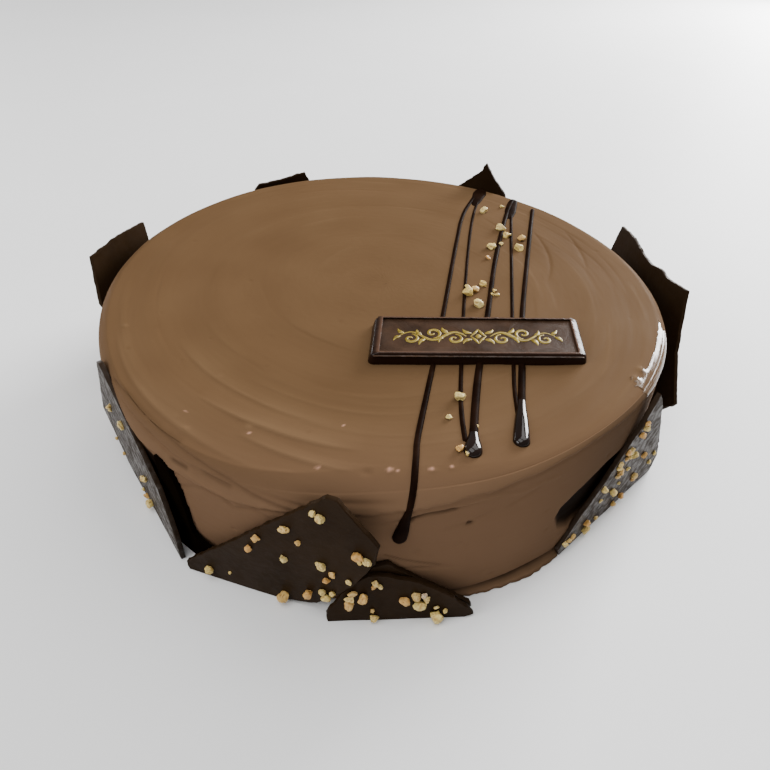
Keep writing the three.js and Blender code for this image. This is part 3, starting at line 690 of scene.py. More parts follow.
# The colour follows the relief, lighter where the cream stands up: painted light and painted shade.
raised = cream.grey(cream.painted("cream_relief"), -0.35, 0.35, 0.0, 1.0)
base = cream.mix(raised, base, cream.mix(raised, SUNK_CREAM_SHADED, RAISED_CREAM_LIT))
wall_and_light_share = cream.painted("cream_wall_and_light")
base = cream.mix(cream.grey(wall_and_light_share, 0.0, 1.0, 0.0, 0.6), base, WALL_CREAM_LIT)
base = cream.mix(cream.painted("cream_painted_highlight"), base, HIGHLIGHT_CREAM)
base = cream.mix(cream.painted("cream_painted_shade"), base, PAINTED_SHADE_BROWN)
cream.set(
    Base_Color=base,
    Roughness=cream.mixed_number(0.15, wall_and_light_share, cream.grey(streak, 0.3, 0.7, 0.6, 0.75)),
    IOR=1.45,
    Specular_IOR_Level=0.02,
)
cream.bump((cloud, 0.10, 0.0012), (broad_streak, 0.10, 0.0008), (streak, 0.04, 0.0003), (speck, 0.06, 0.0002))

frosting = mesh_piece("frosting", frosting_vertices, frosting_faces, cream.material)
unmarked = np.zeros(around + 2)
wall_below = np.concatenate([np.ones(around), (0, 1)])
for name, grid, below in (("cream_relief", relief, unmarked), ("cream_wall_and_light", wall_tone_and_light, wall_below),
                          ("cream_painted_highlight", cream_painted_highlight, unmarked), ("cream_painted_shade", cream_painted_shade, unmarked)):
    paint_points(frosting, name, np.concatenate([grid.reshape(-1), below]))
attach(frosting, "root")
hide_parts("cake")


# ---- the shiny edge -------------------------------------------------------------------------
# At the right the edge was smoothed last, with a warm blade, and its cream set with a gloss. It is
# a skin of the same cream, thinner than paper, with a ragged border, and two small patches by it.

GLOSS_RISE = 0.07
GLOSS_SINK = 0.2
GLOSS_SMOOTHING = 8
GLOSS_INNER = 110.2
GLOSS_LOWEST = 53.5
GLOSS_MIDDLE = -26
GLOSS_HALF_SPAN = 13
# The small patches: bearing, distance from the axis, and radius.
GLOSS_SPOTS = [(-32.5, 109.6, 2.0), (-36.0, 109.4, 2.4)]
gloss_ragged = 0.9 * soft_noise(flat_points, 4.0, 41.0).reshape(relief.shape)
rolled = np.arange(rows)[:, None] >= first_edge_row
inner_edge = GLOSS_INNER + 0.2 * np.maximum(0, bearing_grid + 36)
shiny = rolled & (radius_grid > inner_edge + gloss_ragged) & (height_grid > GLOSS_LOWEST + gloss_ragged)
shiny &= np.abs(bearing_grid - GLOSS_MIDDLE) < GLOSS_HALF_SPAN + 3.5 * gloss_ragged
for at, radius, size in GLOSS_SPOTS:
    x, y = in_plan(at, radius)
    away = np.hypot(frosting_points[..., 0] - x, frosting_points[..., 1] - y)
    shiny |= away < size * (1 + 0.4 * gloss_ragged)

smooth_skin = frosting_points.copy()
for _ in range(GLOSS_SMOOTHING):
    smooth_skin[1:-1] = (smooth_skin[:-2] + smooth_skin[2:] + 2 * smooth_skin[1:-1]) / 4
smooth_skin = smooth_skin.reshape(-1, 3)
way_out = np.stack([out_radius * np.cos(turn_grid), out_radius * np.sin(turn_grid), out_height], axis=-1)
all_shiny = shiny[:-1, :-1] & shiny[1:, :-1] & shiny[:-1, 1:] & shiny[1:, 1:]
gloss_quads = [skin_quad(row, column) for row, column in zip(*np.nonzero(all_shiny))]
used = sorted({i for quad in gloss_quads for i in quad})
new_index = {old: new for new, old in enumerate(used)}
upper = smooth_skin[used] + GLOSS_RISE * way_out.reshape(-1, 3)[used]
lower = smooth_skin[used] - GLOSS_SINK * way_out.reshape(-1, 3)[used]
upper_faces = [tuple(new_index[i] for i in quad) for quad in gloss_quads]
lower_faces = [tuple(len(used) + i for i in reversed(face)) for face in upper_faces]
one_sided = set()
for face in upper_faces:
    for start, end in zip(face, face[1:] + face[:1]):
        if (end, start) in one_sided:
            one_sided.remove((end, start))
        else:
            one_sided.add((start, end))
border_faces = [(end, start, len(used) + start, len(used) + end) for start, end in sorted(one_sided)]

GLOSSY_TONES = [(0.35, (0.096, 0.053, 0.0245)), (0.7, (0.108, 0.061, 0.029))]
wet = Finish("glossy_cream")
wet_grain = wet.grain(260.0, 2.0)
wet.set(
    Base_Color=wet.ramp(wet.grain(16.0, 4.0), GLOSSY_TONES),
    Roughness=wet.grey(wet_grain, 0.3, 0.7, 0.09, 0.2),
    IOR=1.45,
    Specular_IOR_Level=0.5,
)
wet.bump((wet_grain, 0.12, 0.0005))
shine = mesh_piece("frosting_shine", np.vstack([upper, lower]) * MM,
                   upper_faces + lower_faces + border_faces, wet.material)
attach(shine, "root")
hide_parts("cake")


# ---- the drizzled threads -------------------------------------------------------------------
# Dark chocolate, poured from a bag in quick passes from the back of the cake to its front. Two end
# in a round bead on the top, and one runs over the edge and down the wall to a long drop.

THREAD_SIDES = 16
THREAD_STEP = 0.45
THREAD_HEIGHT = 0.72
THREAD_UNDER = 0.3
THREAD_LIFT = 0.06
PLACE_EASING = 4
WAY_EASING = 6
# Each thread's path, its width at the back and at the front, and its bead's width and length.
THREADS = [
    ([(56, 100), (43.3, 70), (35.4, 38.4), (21.9, -23.2), (13.5, -60), (5.7, -93), (4.4, -102)],
     1.9, 2.2, 4.9, 15),
    ([(57, 98), (46.3, 60.7), (34.4, 0.8), (23.8, -62.9), (21.4, -82), (20.6, -96.4)], 1.4, 1.7, 0, 0),
    ([(73, 88), (64.9, 66.3), (51.4, 21), (40.4, -23), (30.8, -60), (25.6, -84), (22.0, -103.2)],
     2.2, 3.0, 6.2, 12),
    ([(72.5, 87), (67, 61.6), (55.3, 1.4), (43.6, -61), (40.9, -79.5), (39.8, -90)], 1.5, 1.5, 0, 0),
    ([(81.5, 76), (71.6, 39.7), (55, -22.6), (46.7, -61), (41.4, -85), (38.6, -98.6)],
     2.1, 3.1, 5.7, 24),
]
# Two places at the back where the bag was held still, and neighbouring threads start in one pool.
POOLS = [
    ([(58.6, 102.5), (56.4, 97), (53.5, 89), (50.4, 80)], [5.0, 7.4, 5.6, 3.0]),
    ([(74.6, 90.5), (72.2, 84), (69.0, 74), (66.6, 65)], [3.6, 5.6, 6.0, 3.4]),
]
POOL_HEIGHT = 0.24

frosting_tree = BVHTree.FromPolygons(
    [Vector(v) for v in frosting_vertices], [tuple(f) for f in frosting_faces])


def smooth_line(points, step):
    """Points at even steps along a smooth line through the given points."""
    points = [Vector(p) for p in points]
    ends = [2 * points[0] - points[1]] + points + [2 * points[-1] - points[-2]]
    line = []
    for i in range(1, len(ends) - 2):
        a, b, c, d = ends[i - 1:i + 3]
        count = max(2, int((c - b).length / step))
        for k in range(count):
            t = k / count
            line.append(0.5 * (2 * b + (c - a) * t + (2 * a - 5 * b + 4 * c - d) * t ** 2
                               + (3 * b - a - 3 * c + d) * t ** 3))
    line.append(points[-1])
    return line


def onto_frosting(point):
    """The nearest place on the cream and the way out of it there, in millimetres."""
    place, way, _, _ = frosting_tree.find_nearest(point * MM)
    return place / MM, way


def on_top_line(path):
    """A smooth line at the height of the top, through places given in plan."""
    return smooth_line([(x, y, CAKE_HEIGHT) for x, y in path], THREAD_STEP)


def eased(vectors, reach):
    """Each vector averaged with its neighbours, and the two ends kept."""
    made = []
    for i in range(len(vectors)):
        room = min(reach, i, len(vectors) - 1 - i)
        near = vectors[i - room:i + room + 1]
        made.append(sum(near, Vector()) / len(near))
    return made


def laid_on_frosting(line):
    """A line let down on the cream, without its small jerks: the places and the ways out."""
    found = [onto_frosting(p) for p in line]
    return eased([place for place, _ in found], PLACE_EASING), eased([way for _, way in found], WAY_EASING)


def laid_strand(places, ways, widths, height_share, lift=0.0):
    """A strand with a low oval section, lying on a surface, closed at both ends."""
    vertices, faces = [], []
    count = len(places)
    for i, (place, way, width) in enumerate(zip(places, ways, widths)):
        ahead = places[min(i + 1, count - 1)] - places[max(i - 1, 0)]
        side = ahead.cross(way).normalized()
        up = side.cross(ahead).normalized()
        for k in range(THREAD_SIDES):
            turn = 2 * math.pi * k / THREAD_SIDES
            rise = math.sin(turn) * (height_share if math.sin(turn) > 0 else THREAD_UNDER)
            vertices.append((place + side * math.cos(turn) * width / 2
                             + up * (rise * width / 2 + lift)) * MM)
    for i in range(count - 1):
        for k in range(THREAD_SIDES):
            n = (k + 1) % THREAD_SIDES
            a, b = i * THREAD_SIDES, (i + 1) * THREAD_SIDES
            faces.append((a + k, a + n, b + n, b + k))
    faces.append(tuple(reversed(range(THREAD_SIDES))))
    last = (count - 1) * THREAD_SIDES
    faces.append(tuple(range(last, last + THREAD_SIDES)))
    return vertices, faces


def thread_widths(count, step, back, front, bead, tail, seed):
    """Width along a thread, which broadens towards its front and then fills its bead."""
    widths = []
    for i in range(count):
        at, left = i * step, (count - 1 - i) * step
        run = min(1, max(0, (i / count - 0.5) / 0.45))
        uneven = 0.07 * noise.noise(Vector((at / 13.0, seed * 7.3, 0.0)))
        here = (back + (front - back) * run) * (1 + uneven)
        if bead:
            full = min(1, max(0, (tail - left) / (tail - bead * 0.45)))
            full = full * full * (3 - 2 * full)
            here += (bead - here) * full
        round_off = (bead or here) * 0.5
        if left < round_off:
            here *= math.sqrt(max(0.004, 1 - (1 - left / round_off) ** 2))
        widths.append(here)
    return widths


def joined(parts):
    vertices, faces = [], []
    for part_vertices, part_faces in parts:
        start = len(vertices)
        vertices.extend(part_vertices)
        faces.extend(tuple(start + i for i in face) for face in part_faces)
    return vertices, faces


# The first thread's way over the edge: the bearing where it crosses, its sway on the top before
# that, its drift on the wall after it, and the height where its drop ends.
SPILL = {"bearing": -89.3, "sway": 1.3, "drift": 1.3, "end": 37.8}
SPILL_JOIN = 6


def spill_points():
    """Places down over the edge, and then down the wall."""
    for share in np.linspace(0.9, 0, 10):
        at = SPILL["bearing"] + SPILL["sway"] * share
        radius, z = rim_point(at, share)
        yield Vector((*in_plan(at, radius), z))
    start = CAKE_HEIGHT - rim_drop(SPILL["bearing"])
    for run in np.linspace(0.15, 1, 6):
        at = SPILL["bearing"] - SPILL["drift"] * run
        z = start + (SPILL["end"] - start) * run
        yield Vector((*in_plan(at, wall_radius(at, z)), z))


thread_parts, bead_parts = [], []
for number, (path, back, front, bead, tail) in enumerate(THREADS):
    guide = on_top_line(path)
    if number == 0:
        guide = guide[:-SPILL_JOIN]
        guide += smooth_line([guide[-1]] + list(spill_points()), THREAD_STEP)[1:]
    places, ways = laid_on_frosting(guide)
    widths = thread_widths(len(places), THREAD_STEP, back, front, bead, tail, number)
    cut = len(places) - int(tail / THREAD_STEP)
    thread_parts.append(laid_strand(places[:cut + 2], ways[:cut + 2], widths[:cut + 2],
                                    THREAD_HEIGHT, THREAD_LIFT))
    if bead:
        parts = thread_parts if number == 0 else bead_parts
        parts.append(laid_strand(places[cut:], ways[cut:], widths[cut:], THREAD_HEIGHT, THREAD_LIFT))
for path, widths_at in POOLS:
    places, ways = laid_on_frosting(on_top_line(path))
    run = np.linspace(0, 1, len(places))
    widths = np.interp(run, np.linspace(0, 1, len(widths_at)), widths_at)
    widths = widths * np.sqrt(np.clip(1 - np.abs(2 * run - 1) ** 8, 0.004, 1))
    thread_parts.append(laid_strand(places, ways, widths, POOL_HEIGHT))

dark = Finish("drizzled_chocolate")
dark.set(
    Base_Color=dark.ramp(dark.grain(120.0, 3.0), [
        (0.35, (0.006, 0.0025, 0.0013)), (0.7, (0.014, 0.006, 0.0032))]),
    Roughness=dark.grey(dark.grain(90.0, 2.0), 0.3, 0.7, 0.42, 0.56),
    IOR=1.5,
    Specular_IOR_Level=0.008,
)
dark.bump((dark.grain(260.0, 2.0), 0.1, 0.0004))
drizzle = mesh_piece("drizzle", *joined(thread_parts), dark.material)
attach(drizzle, "root")
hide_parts("cake")

glossy = Finish("poured_chocolate")
glossy.set(
    Base_Color=glossy.ramp(glossy.grain(120.0, 3.0), [
        (0.35, (0.006, 0.0028, 0.002)), (0.7, (0.012, 0.006, 0.004))]),
    Roughness=glossy.grey(glossy.grain(140.0, 2.0), 0.3, 0.7, 0.05, 0.11),
    IOR=1.5,
    Specular_IOR_Level=0.3,
)
glossy.bump((glossy.grain(150.0, 2.0), 0.08, 0.0005))
beads = mesh_piece("drizzle_beads", *joined(bead_parts), glossy.material)
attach(beads, "root")
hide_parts("cake")


# ---- praline crumbs on the top --------------------------------------------------------------
# Chopped caramelised nuts, let fall in pinches between the threads. Each is a broken lump with a
# craggy skin, from pale yellow to toasted orange, sunk a little into the cream that holds it.

CRUMB_SINK = 0.22
CRUMB_CLEAR = 5
CRUMB_APART = 0.42
CRUMB_TRIES = 40
CRUMB_FACETS = 10
CRUMB_REACH = 0.54
CRUMB_SHAPE = (1.15, 0.92, 0.86)
CRUMB_FULL = 0.93
CRUMB_SHARP = math.radians(34)
PALE_UNDER = 2.5
PLAQUE = {"length": 76.6, "depth": 23.5, "height": 5, "skew": 0.11, "x": 32.7, "y": -43.6}
# Middle and reach of each pinch, how many crumbs, and the largest and smallest, in millimetres.
TOP_SEED = 3594
TOP_PINCHES = [
    ((54.1, 72.2), (0.5, 0.5), 1, 4.4, 4.4), ((65.8, 79), (0.5, 0.5), 1, 2.1, 2.1),
    ((59.4, 53.2), (0.5, 0.5), 1, 5.2, 5.2), ((61.9, 45.4), (0.5, 0.5), 1, 4.6, 4.6),
    ((68.8, 42.2), (0.5, 0.5), 1, 4.8, 4.8), ((65, 33.2), (0.5, 0.5), 1, 5.4, 5.4),
    ((50.7, 32.7), (0.6, 0.6), 1, 4.8, 4.8), ((56.9, 35.8), (0.5, 0.5), 1, 2.6, 2.6),
    ((47.7, 22), (0.6, 0.6), 1, 2.4, 2.4), ((41.7, -1.2), (0.7, 0.7), 1, 3.8, 3.8),
    ((34.6, -7), (3, 3.8), 3, 4.8, 3), ((37, -17.4), (0.8, 0.6), 1, 4.6, 4.6),
    ((45.4, -8.5), (1.8, 5.4), 3, 2.2, 1.8), ((21.8, -75), (0.6, 0.6), 1, 4.8, 4.8),
    ((17.4, -84.9), (0.8, 0.8), 1, 2.6, 2.6), ((19.1, -100.7), (1.8, 1.4), 3, 3.4, 2),
    ((25.6, -89.8), (0.6, 0.6), 1, 1.7, 1.7),
]


def scattered(pinches, seed, fits):
    """The largest fall first, and a crumb that would lie on another is drawn again."""
    draw = seeded(seed)
    crumbs = []
    for (at_x, at_y), (reach_x, reach_y), count, largest, smallest in pinches:
        for i in range(count):
            size = largest - (largest - smallest) * (i / (count - 1) if count > 1 else 0)
            for _ in range(CRUMB_TRIES):
                turn = 2 * math.pi * draw()
                out = math.sqrt(draw())
                u = at_x + reach_x * out * math.cos(turn)
                v = at_y + reach_y * out * math.sin(turn)
                free = all(math.hypot(c[0] - u, c[1] - v) > CRUMB_APART * (c[2] + size) for c in crumbs)
                if free and fits(u, v, size):
                    crumbs.append((u, v, size, int(draw() * 1000) + 1))
                    break
    return crumbs


def crumb_lump(size, roll):
    """A ball with a few flat breaks and crags, in millimetres, and how far its corners stand out."""
    draw = seeded(roll * 7919)
    for _ in range(13):
        draw()
    turn = 2 * math.pi * draw()
    facets = []
    for _ in range(CRUMB_FACETS):
        height, about = 2 * draw() - 1, 2 * math.pi * draw()
        ring = math.sqrt(1 - height * height)
        facing = Vector((ring * math.cos(about), ring * math.sin(about), height))
        facets.append((facing, 0.27 + 0.2 * draw()))
    lump = bmesh.new()
    bmesh.ops.create_icosphere(lump, subdivisions=3, radius=0.5)
    corner = Vector((roll * 0.37, roll * 0.11, roll * 0.73))
    standing = []
    for v in lump.verts:
        way = v.co.normalized()
        flats = [distance / way.dot(facing) for facing, distance in facets if way.dot(facing) > 0.1]
        reach = min([CRUMB_REACH] + flats)
        crag = 0.075 * noise.noise(way * 2.6 + corner) + 0.055 * noise.noise(way * 6.5 + corner)
        crag += 0.03 * noise.noise(way * 14 + corner)
        v.co = way * (reach + crag)
        for axis, share in enumerate(CRUMB_SHAPE):
            v.co[axis] *= share
        standing.append(0.5 + 5 * crag)
    lump.transform(Matrix.Translation((0, 0, size * CRUMB_SINK)) @ Matrix.Rotation(turn, 4, "Z")
                   @ Matrix.Scale(size * CRUMB_FULL, 4))
    vertices = [v.co.copy() for v in lump.verts]
    faces = [tuple(v.index for v in f.verts) for f in lump.faces]
    lump.free()
    return vertices, faces, standing


def laid_crumbs(crumbs, place_of):
    """All crumbs of one scatter as one mesh, each crumb's tone, and how far its corners stand out."""
    parts, tones, standing = [], [], []
    for u, v, size, roll in crumbs:
        vertices, faces, stands = crumb_lump(size, roll)
        place = place_of(u, v)
        laid = [place @ p for p in vertices]
        for p in laid:
            p.z = max(p.z, 0.05)
        parts.append(([p * MM for p in laid], faces))
        tone = (roll * 0.6180339 + 0.2) % 1.0
        tones.extend([tone if size < PALE_UNDER else tone * 0.9] * len(vertices))
        standing.extend(stands)
    return joined(parts), tones, standing


def clear_of_plaque(u, v, size):
    """True beside the plaque, for a crumb of any size."""
    return abs(v - PLAQUE["y"]) > PLAQUE["depth"] / 2 + CRUMB_CLEAR


def on_top_at(u, v):
    height = top_height(math.degrees(math.atan2(v, u)), math.hypot(u, v))
    place, _ = onto_frosting(Vector((u, v, height)))
    return Matrix.Translation((u, v, place.z))


NUT_TONES = [
    (0.0, (0.72, 0.55, 0.17)), (0.45, (0.74, 0.60, 0.24)), (0.62, (0.66, 0.44, 0.14)),
    (0.80, (0.60, 0.32, 0.09)), (0.92, (0.66, 0.50, 0.20)), (1.0, (0.52, 0.42, 0.33))]
CARAMEL_AND_SHADE = (0.34, 0.155, 0.035)
praline = Finish("praline_crumb")
toast = praline.grain(520.0, 4.0, 0.7)
nut = praline.ramp(praline.painted("crumb_tone"), NUT_TONES)
toasted = praline.grey(toast, 0.5, 0.75, 0.0, 1.0)
# Caramel brown goes on where the noise says toasted, and in the crevices as painted shade.
crevice_shade = praline.grey(praline.painted("crumb_stands"), 0.22, 0.62, 0.75, 0.0)
praline.set(
    Base_Color=praline.mix(praline.mixed_number(0.45, toasted, crevice_shade), nut, CARAMEL_AND_SHADE),
    Roughness=praline.grey(toast, 0.3, 0.7, 0.32, 0.55),
    IOR=1.45,
    Specular_IOR_Level=0.35,
)
praline.bump((praline.grain(900.0, 3.0), 0.3, 0.0003))



def crumb_piece(name, mesh, tones, standing):
    """A mesh of crumbs as a piece, with sharp breaks and each corner's tone."""
    piece = mesh_piece(name, *mesh, praline.material)
    piece.data.set_sharp_from_angle(angle=CRUMB_SHARP)
    paint_points(piece, "crumb_tone", tones)
    paint_points(piece, "crumb_stands", standing)
    return piece


top_crumbs = scattered(TOP_PINCHES, TOP_SEED, clear_of_plaque)
praline_on_top = crumb_piece("praline_on_top", *laid_crumbs(top_crumbs, on_top_at))
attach(praline_on_top, "root")
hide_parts("cake")


# ---- the broken chocolate sheets ------------------------------------------------------------
# Dark chocolate spread thin on paper, set, and broken by hand. The pieces stand against the wall,
# pressed into the cream, with their crumbed side out: flat faces that bow a little, ragged edges.

SHEET_GRID = 2.6
GRID_JITTER = 0.8
BREAK_STEP = 0.9
BREAK_ROUGH = 0.42
SHEET_BOW = 0.22
BOW_LENGTH = 22
SHEET_SHARP = math.radians(38)
# The broken edge's rows between the two faces: how deep each is, and how far it stands out.
BREAK_ROWS = ((-0.28, 0.16), (-0.95, 0.10), (-1.55, 0.14))


def broken_outline(outline, seed):
    """The outline with every edge broken into short uneven steps, but straight along the foot."""
    made = []
    for (x1, y1), (x2, y2) in zip(outline, outline[1:] + outline[:1]):
        start, end = Vector((x1, y1)), Vector((x2, y2))
        length = (end - start).length
        normal = Vector((y2 - y1, x1 - x2)).normalized()
        on_foot = y1 == 0 and y2 == 0
        steps = max(1, int(length / BREAK_STEP))
        for k in range(steps):
            point = start.lerp(end, k / steps)
            if k > 0 and not on_foot:
                ease = min(1, min(k, steps - k) * BREAK_STEP / 2)
                jag = noise.noise(Vector((point.x / 3.1, point.y / 3.1, seed)))
                jag += 0.6 * noise.noise(Vector((point.x / 1.1, point.y / 1.1, seed + 9)))
                point = point + normal * BREAK_ROUGH * ease * jag
            point.y = max(point.y, 0)
            made.append(point)
    return made


def sheet_mesh(outline, place, seed):
    """Two bowed faces of small triangles inside the broken outline, and the rough edge between."""
    border = broken_outline(outline, seed)
    xs, ys = [p.x for p in border], [p.y for p in border]
    inner = []
    draw = seeded(int(seed * 31) + 3)
    x = min(xs) + SHEET_GRID / 2
    while x < max(xs):
        y = min(ys) + SHEET_GRID / 2
        while y < max(ys):
            inner.append(Vector((x + GRID_JITTER * (draw() - 0.5), y + GRID_JITTER * (draw() - 0.5))))
            y += SHEET_GRID
        x += SHEET_GRID
    inner_x, inner_y = np.array([p.x for p in inner]), np.array([p.y for p in inner])
    flat_outline = [(p.x, p.y) for p in border]
    kept = inside_outline(flat_outline, inner_x, inner_y)
    border_array = np.array(flat_outline)
    for i, point in enumerate(inner):
        if np.min(np.hypot(*(border_array - (point.x, point.y)).T)) < SHEET_GRID * 0.45:
            kept[i] = False
    inner = [p for p, keep in zip(inner, kept) if keep]
    count = len(border)
    edges = [(i, (i + 1) % count) for i in range(count)]
    flat, _, triangles, _, _, _ = delaunay_2d_cdt(border + inner, edges, [], 1, 1e-4)

    def bow(p):
        return SHEET_BOW * noise.noise(Vector((p.x / BOW_LENGTH, p.y / BOW_LENGTH, seed + 4)))

    vertices = [Vector((p.x, p.y, bow(p) - down)) for down in (0, SHEET_THICKNESS) for p in flat]
    lower = len(flat)
    faces = []
    for a, b, c in triangles:
        faces.append((a, b, c))
        faces.append((c + lower, b + lower, a + lower))
    rings = [0]
    centre = sum(border, Vector((0, 0))) / count
    for depth, spread in BREAK_ROWS:
        rings.append(len(vertices))
        for i, p in enumerate(border):
            before, after = border[i - 1], border[(i + 1) % count]
            normal = Vector((after.y - before.y, before.x - after.x)).normalized()
            if normal.dot(p - centre) < 0:
                normal = -normal
            rough = 0.16 * noise.noise(Vector((p.x / 0.9, p.y / 0.9, depth * 3 + seed)))
            moved = p + normal * (spread + rough)
            vertices.append(Vector((moved.x, max(moved.y, 0), bow(p) + depth)))
    rings.append(lower)
    for upper, under in zip(rings, rings[1:]):
        for i in range(count):
            n = (i + 1) % count
            faces.append((upper + i, under + i, under + n, upper + n))
    placed = [place @ v for v in vertices]
    for v in placed:
        v.z = max(v.z, 0.05)
    return [v * MM for v in placed], faces


def chocolate_slab(name, shine, rough, tones):
    """Set chocolate, smeared by the paper it was spread on, with a little bloom in its colour."""
    slab = Finish(name)
    smear = slab.grain(60.0, 5.0, 0.6, slab.stretched(1, 1, 0.5), 1.2)
    pocks = slab.grain(330.0, 3.0, 0.6)
    bloom = slab.grain(22.0, 5.0, 0.65)
    slab.set(
        Base_Color=slab.ramp(bloom, list(zip((0.3, 0.55, 0.8), tones))),
        Roughness=slab.mixed_number(rough, slab.grey(pocks, 0.4, 0.6, 0.0, 0.3),
                                    slab.grey(smear, 0.3, 0.7, 0.28, 0.46)),
        IOR=1.5,
        Specular_IOR_Level=shine,
    )
    slab.bump((smear, 0.22, 0.0008), (pocks, 0.1 + 0.35 * rough, 0.0005),
              (slab.grain(700.0, 3.0), 0.1, 0.0002))
    return slab.material


SLAB_TONES = ((0.015, 0.0078, 0.0034), (0.022, 0.012, 0.0056), (0.031, 0.018, 0.0095))
SHADE_TONES = ((0.002, 0.001, 0.0006), (0.0035, 0.002, 0.001), (0.005, 0.003, 0.0016))
matt_slab = chocolate_slab("set_chocolate", 0.025, 0.3, SLAB_TONES)
smooth_slab = chocolate_slab("smooth_chocolate", 0.12, 1.0, SLAB_TONES)
shade_slab = chocolate_slab("chocolate_painted_shade", 0.0, 0.0, SHADE_TONES)
# The sheets that catch the light are smoother; the one in the gap is coloured near-black as painted
# shade.
SLAB_OF = {"shard_left": smooth_slab, "shard_right_front": smooth_slab, "shard_left_behind": shade_slab}

for number, (name, (sheet_bearing, distance, lean, outline)) in enumerate(SHEETS.items()):
    vertices, faces = sheet_mesh(outline, sheet_place(sheet_bearing, distance, lean), number + 1.5)
    sheet = mesh_piece(name.replace("shard", "sheet"), vertices, faces, SLAB_OF.get(name, matt_slab))
    solid = bmesh.new()
    solid.from_mesh(sheet.data)
    bmesh.ops.recalc_face_normals(solid, faces=solid.faces)
    solid.to_mesh(sheet.data)
    solid.free()
    sheet.data.set_sharp_from_angle(angle=SHEET_SHARP)
    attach(sheet, "root")
    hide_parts(name)


# ---- praline crumbs on the sheets -----------------------------------------------------------
# The same chopped nuts, strewn on the chocolate before it set, so that they stick to the outer
# faces of the sheets. They lie thickest low on the front sheets and on the one at the right.

# For each sheet a seed, and its pinches in the way of those on the top, seen from outside.
SHEET_PINCHES = {
    "shard_front_left": (5442, [
        ((16.5, 53.7), (1.6, 3), 2, 3.4, 2.6), ((4.7, 43.2), (1, 1), 1, 3.4, 3.4),
        ((-6.4, 28.8), (2.4, 7), 2, 3.4, 3), ((10.1, 37.8), (1, 1), 1, 2.1, 2.1),
        ((3.8, 27.2), (1, 1), 1, 3.2, 3.2), ((-23, 7.5), (5.5, 3.4), 2, 3.5, 1.4),
        ((18.2, 24.8), (3.6, 5.6), 3, 3.6, 2.6), ((16.2, 12.4), (5.4, 7), 4, 4.2, 2.4),
        ((2.2, 3.2), (1, 1), 1, 5, 5), ((26.6, 24.3), (1, 1), 1, 2.4, 2.4),
        ((31, 39.2), (1.9, 1.9), 3, 3.6, 2)]),
    "shard_front": (4392, [
        ((-17, 13.4), (4, 4.2), 4, 4.4, 2.9), ((-10.2, 4), (2, 2.6), 2, 3.8, 1.8),
        ((-9.5, 20.8), (2, 1.7), 3, 2.6, 2), ((-0.7, 11.6), (1, 1), 1, 3.8, 3.8),
        ((5.2, 11.8), (2.6, 3), 4, 4.4, 2.4), ((12, 3.2), (0.8, 0.6), 1, 5.3, 5.3),
        ((12.6, 5), (2.6, 4), 2, 2.2, 1.8)]),
    "shard_left": (6900, [
        ((-18.5, 33), (1.4, 5), 2, 3, 2), ((-0.7, 37.9), (0.8, 0.8), 1, 3.2, 3.2),
        ((-26, 6.6), (8, 2.5), 2, 1.9, 1.8), ((12, 20.5), (5, 3.5), 2, 2.8, 2.7),
        ((6.5, 3.6), (5, 1), 3, 4, 1.8)]),
    "shard_right_front": (8098, [
        ((22.5, 46.5), (1.6, 3.4), 3, 3.4, 2.6), ((17.4, 37), (2.8, 3), 4, 2.9, 2.1),
        ((23, 28.8), (1.2, 4.6), 2, 2.9, 2), ((10.6, 32.6), (2.6, 2.6), 2, 2.6, 2.4),
        ((34.9, 23.7), (0.8, 0.8), 1, 2.6, 2.6), ((47, 14.6), (1.2, 3.6), 2, 2.3, 2.2),
        ((34.6, 11), (1, 1.6), 2, 3.2, 2.8), ((15.8, 27), (2.2, 1.6), 3, 2.9, 2),
        ((5.9, 25.6), (0.8, 0.8), 1, 3.2, 3.2), ((15.2, 15.9), (0.8, 0.8), 1, 3.9, 3.9),
        ((6.7, 17.5), (0.8, 0.8), 1, 1.8, 1.8), ((19.6, 18.3), (0.8, 0.8), 1, 1.6, 1.6),
        ((24, 4), (6, 1), 2, 3.2, 2.9), ((9.5, 4.1), (0.8, 0.8), 1, 2, 2),
        ((1.4, 5.4), (2, 3), 2, 4, 3.2), ((-9.8, 6.2), (3.4, 2.4), 3, 3, 2.2)]),
    "shard_back_left": (4, [((8, 34), (14, 18), 8, 3.6, 2)]),
    "shard_back": (2, [((10, 24), (16, 18), 8, 3.8, 2)]),
    "shard_back_tip": (7, [((-4, 26), (16, 18), 8, 3.6, 2)]),
    "shard_right_back": (12, [((12, 30), (18, 20), 8, 3.8, 2), ((-20, 20), (14, 12), 6, 3.4, 2)]),
}


def on_sheet(outline):
    """True where a crumb of this size has most of its foot on the sheet."""
    def fits(u, v, size):
        room = 0.35 * size
        x = np.array([u + room, u - room, u, u])
        y = np.array([v, v, v + room, v - room])
        return bool(inside_outline(outline, x, y).all())
    return fits


sheet_crumb_parts, sheet_tones, sheet_standing = [], [], []
for name, (seed, pinches) in SHEET_PINCHES.items():
    sheet_bearing, distance, lean, outline = SHEETS[name]
    place = sheet_place(sheet_bearing, distance, lean)
    part, tones, standing = laid_crumbs(
        scattered(pinches, seed, on_sheet(outline)),
        lambda u, v: place @ Matrix.Translation((u, v, 0)))
    sheet_crumb_parts.append(part)
    sheet_tones.extend(tones)
    sheet_standing.extend(standing)
praline_on_sheets = crumb_piece("praline_on_sheets", joined(sheet_crumb_parts), sheet_tones, sheet_standing)
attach(praline_on_sheets, "root")
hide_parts(*SHEET_PINCHES)


# ---- the moulded plaque ---------------------------------------------------------------------
# A bar of dark chocolate cast in a mould: a raised frame with a rounded ridge round a flat field.
# It lies on the threads, pressed a little into the cream, and shows small casting faults.

PLAQUE_BED = 0.3
PLAQUE_CORNER = 1.2
PLAQUE_SHARP = math.radians(50)
